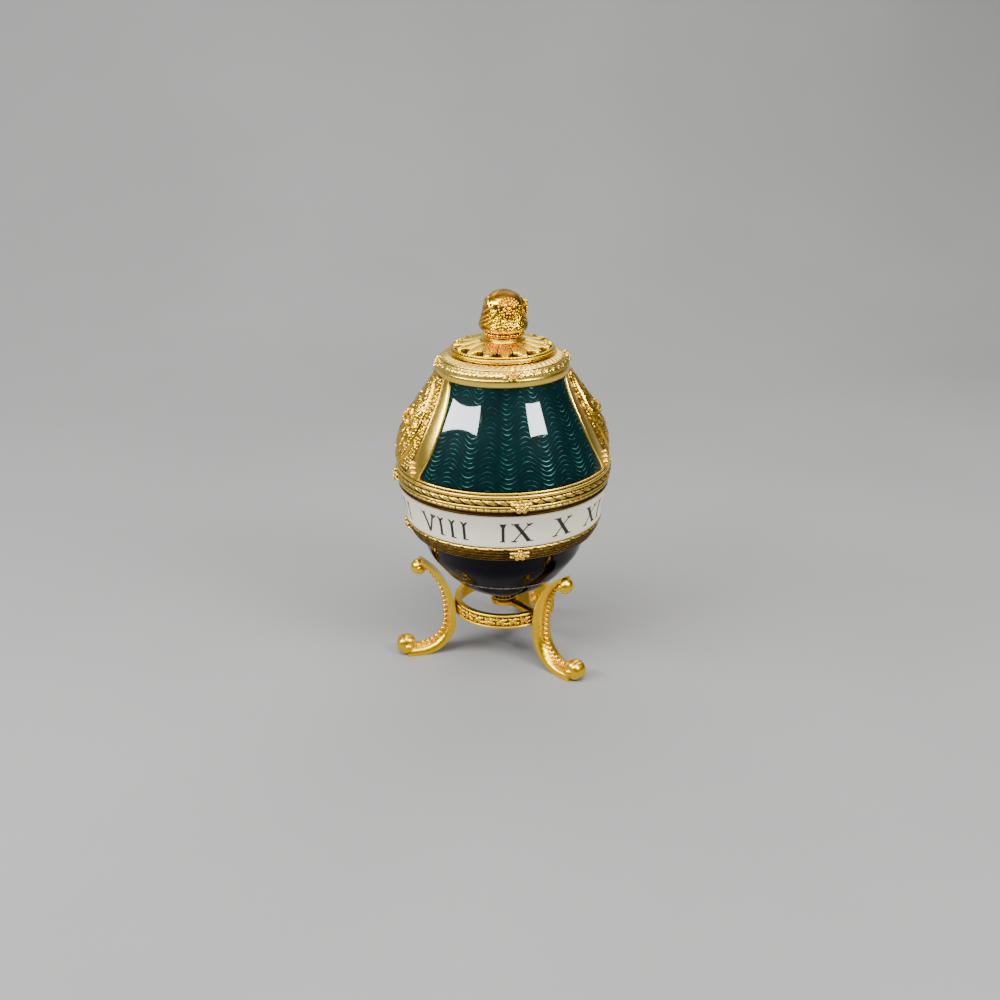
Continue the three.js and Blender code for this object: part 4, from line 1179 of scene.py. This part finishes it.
def leg_pearls(line, share):
    """Places of the cross beads, evenly along the ridge: reach, height, direction and share."""
    lift = leg_ridge(share) + 0.2
    rho = line[:, 0] + lift * np.sin(line[:, 2])
    z = line[:, 1] + lift * np.cos(line[:, 2])
    reach = np.concatenate([[0], np.cumsum(np.hypot(np.diff(rho), np.diff(z)))])
    first, last = np.interp((0.12, 0.955), share, reach)
    for place in np.linspace(first, last, int((last - first) / PEARL_PITCH) + 1):
        yield [float(np.interp(place, reach, v)) for v in (rho, z, line[:, 2], share)]


def build_leg(material, azimuth, name, node):
    """A scroll leg, made facing -Y and then turned to its azimuth."""
    shape = Shape()
    count = 230
    line, length = leg_line(count)
    share = np.linspace(0, 1, count)[:, None]
    half, spine = leg_half(share), leg_ridge(share)
    # Cross section: flat back, short upright edges, and a full slope up to the ridge
    side = np.array([-1, -0.5, 0, 0.5, 1, 1.0, 1.0, 0.94, 0.8, 0.66, 0.5, 0.36, 0.24, 0.12, 0,
                     -0.12, -0.24, -0.36, -0.5, -0.66, -0.8, -0.94, -1.0, -1.0])[None, :]
    rise = np.array([0, 0, 0, 0, 0, 0.35, 0.8] + [1] * 15 + [0.8, 0.35])[None, :]
    slope = np.sqrt(np.clip(1 - np.abs(side) ** 2.2, 0, 1))
    top = 0.95 + (spine - 0.95) * slope
    height = np.where(rise >= 1, top, rise * 0.95)
    x = side * half
    along = share * length
    rough = smooth(0.68, 0.5, share) * smooth(-0.02, 0.06, share)
    stipple = np.sin(x * 7.9 + 2.1 * np.sin(along * 3.7)) * np.sin(along * 7.1 + 1.9 * np.sin(x * 4.3))
    stipple = stipple + 0.5 * np.sin(x * 15.3 + along * 4.1) * np.sin(along * 14.9 - x * 5.2)
    on = (rise >= 1) * (np.abs(side) < 0.95)
    height = height + 0.07 * stipple * rough * on
    trench = ridge(np.abs(side), 0.3, 0.07) * (rise >= 1)
    height = height - 0.18 * trench
    # Painted shade in the stipple's pits, in the trenches and over the flat back
    hollow = smooth(-0.2, -0.8, stipple) * rough * on * 0.5 + 0.6 * trench + 0.25 * (rise < 0.1)
    rho = line[:, :1] + height * np.sin(line[:, 2:])
    z = line[:, 1:2] + height * np.cos(line[:, 2:])
    points = np.stack([np.broadcast_to(x, rho.shape), -rho, z], -1)
    columns = side.shape[1]
    # End caps: quads across the section, pairing opposite corners
    caps = []
    for start in (0, (count - 1) * columns):
        for k in range(columns // 2 - 1):
            cap = [start + k + 3, start + k + 2, start + (1 - k) % columns, start + (-k) % columns]
            if len(set(cap)) == 4:
                caps.append(cap if start == 0 else cap[::-1])
    shape.add(points, np.concatenate([weave(count, columns, False, True), np.array(caps)]), hollow)

    for rho, z, turn, place in leg_pearls(line, share[:, 0]):
        size = 0.68 - 0.08 * place
        pearl = Shape()
        blob(pearl, (0, 0, 0), (0.88 - 0.12 * place, size, size), 14, 9)
        shape.join(pearl, Matrix.Translation((0.0, -rho, z)) @ Matrix.Rotation(turn, 4, "X"))

    # Rolled foot: a full barrel with a spiral seam, and a ball on each side
    roll(shape, FOOT_RHO, FOOT_RADIUS, FOOT_RADIUS, 2.75)
    for side_sign in (-1, 1):
        blob(shape, (side_sign * 2.6, -FOOT_RHO + 0.35, FOOT_RADIUS - 0.3), (0.9, 1.25, 1.25), 20, 11)
    # Top ball, slightly flattened, with its scroll's eyes
    blob(shape, (0.0, -25.7, 28.1), (2.45, 2.35, 2.35), 40, 23)
    for side_sign in (-1, 1):
        blob(shape, (side_sign * 2.1, -25.5, 28.0), (0.7, 1.05, 1.05), 18, 9)
    turn = Matrix.Rotation(math.radians(azimuth), 4, "Z")
    placed = Shape()
    placed.join(shape, turn)
    placed.build(name, material, node)


def roll(shape, rho, z, radius, half):
    """A barrel across the leg, fullest in the middle, with a seam and rounded ends."""
    columns, rings = 48, 25
    t = np.linspace(-1, 1, rings)
    x = half * np.sign(t) * np.abs(t) ** 0.8
    swell = radius * np.sqrt(1 - np.abs(t) ** 2.6)
    swell[[0, -1]] = 0.05
    around = np.arange(columns)[:, None] * 2 * math.pi / columns
    seam = ridge(centred(around / (2 * math.pi) - 0.3), 0.0, 0.02)
    size = swell[None, :] - 0.18 * seam * (swell[None, :] > 1)
    x = np.broadcast_to(x, size.shape)
    points = np.stack([x, -rho + size * np.cos(around), z + size * np.sin(around)], -1)
    # Painted shade along the seam
    shape.add(points, barrel(columns, rings), np.broadcast_to(0.8 * seam, size.shape))


# Floor, lamps and surroundings

def add_floor():
    """A pale sweep: flat under the clock, rising in a curve well behind it."""
    made = Nodes("pale_floor")
    cloud = made.spread(made.noise(6.0), 0.3, 0.7)
    made.set(Base_Color=made.mix(cloud, rgb(0.20, 0.20, 0.199), rgb(0.185, 0.185, 0.184)), Roughness=0.8)
    wall, bend, top, half, steps = 0.55, 0.3, 1.0, 3.0, 16
    profile = [(-half, 0.0), (wall - bend, 0.0)]
    for k in range(1, steps + 1):
        a = k / steps * math.pi / 2
        profile.append((wall - bend + bend * math.sin(a), bend - bend * math.cos(a)))
    profile.append((wall, top))
    points = [(x, y, z) for y, z in profile for x in (-half, half)]
    faces = [(2 * k, 2 * k + 1, 2 * k + 3, 2 * k + 2) for k in range(len(profile) - 1)]
    mesh = bpy.data.meshes.new("floor")
    mesh.from_pydata(points, [], faces)
    mesh.shade_smooth()
    mesh.materials.append(made.material)
    floor = bpy.data.objects.new("floor", mesh)
    bpy.context.scene.collection.objects.link(floor)


# Name, azimuth and elevation, distance, width and height in metres, roll, watts, colour. The two
# windows are narrow and their reflections show in the enamel; the two skies are large and soft.
LAMP_TARGET = (0, 0, 0.065)
LAMPS = (
    ("window_left", -74.0, 33.5, 0.6, 0.5, 0.06, 17.6, 6.2, (0.95, 0.98, 1.0)),
    ("window_right", 43.0, 35.3, 0.6, 0.22, 0.07, -12.5, 3.4, (0.96, 0.98, 1.0)),
    ("sky_front", -4.0, 66.0, 0.75, 0.95, 0.55, 0.0, 14.0, (1.0, 0.98, 0.95)),
    ("sky_back", 171.0, 50.0, 0.75, 0.9, 0.45, 0.0, 6.0, (1.0, 0.98, 0.96)),
)


def add_light(name, azimuth, elevation, reach, width, height, roll_by, power, colour):
    data = bpy.data.lights.new(name, "AREA")
    data.shape = "RECTANGLE"
    data.size, data.size_y = width, height
    data.energy = power
    data.color = colour
    lamp = bpy.data.objects.new(name, data)
    a, e = math.radians(azimuth), math.radians(elevation)
    away = Vector((math.sin(a) * math.cos(e), -math.cos(a) * math.cos(e), math.sin(e)))
    lamp.location = Vector(LAMP_TARGET) + away * reach
    turned_to = away.to_track_quat("Z", "Y") @ Quaternion((0, 0, 1), math.radians(roll_by))
    lamp.rotation_euler = turned_to.to_euler()
    bpy.context.scene.collection.objects.link(lamp)


def add_world():
    world = bpy.data.worlds.new("soft_room")
    world.use_nodes = True
    background = world.node_tree.nodes["Background"]
    background.inputs["Color"].default_value = (0.95, 0.98, 1.0, 1.0)
    background.inputs["Strength"].default_value = 0.03
    bpy.context.scene.world = world


# The scene

add_camera()
add_floor()
add_world()
for lamp in LAMPS:
    add_light(*lamp)

# Colour on the high parts, painted shade colour for the recesses, roughness, depth of the cast grain and its
# scale
GOLDS = {
    "gold_lid": (rgb(1.0, 0.66, 0.012), rgb(0.045, 0.013, 0.001), 0.25, 0.10, 1200.0),
    "gold_finial": (rgb(1.0, 0.57, 0.006), rgb(0.07, 0.018, 0.001), 0.19, 0.12, 1400.0),
    "gold_stand": (rgb(1.0, 0.61, 0.018), rgb(0.12, 0.045, 0.002), 0.30, 0.2, 1500.0),
    "gold_relief": (rgb(0.86, 0.52, 0.035), rgb(0.05, 0.018, 0.002), 0.24, 0.16, 1400.0),
    "gold_satin": (rgb(1.0, 0.69, 0.11), rgb(0.04, 0.014, 0.002), 0.27, 0.12, 1600.0),
}
gold = {name: gilt_material(name, *look) for name, look in GOLDS.items()}
green = green_enamel_material()

build_bowl(dark_enamel_material())
build_lower_ring(gold["gold_satin"])
build_band(ivory_material())
build_numerals(numeral_material())
build_equator(gold["gold_satin"])
build_frame(gold["gold_satin"])
build_panel(green, 0.0, "enamel_panel_facing", "enamel_panel_front")
build_panel(green, 180.0, "enamel_panel_behind", "enamel_panel_back")
build_medallion(gold["gold_relief"], -90.0, "relief_medallion_left", "medallion_left")
build_medallion(gold["gold_relief"], 90.0, "relief_medallion_right", "medallion_right")
build_lid(gold["gold_lid"])
build_finial(gold["gold_finial"])
build_stand_ring(gold["gold_stand"])
build_boss(gold["gold_stand"])
for side, azimuth in LEG_TURNS.items():
    build_leg(gold["gold_stand"], azimuth, "scroll_leg_" + side, "stand_leg_" + side)
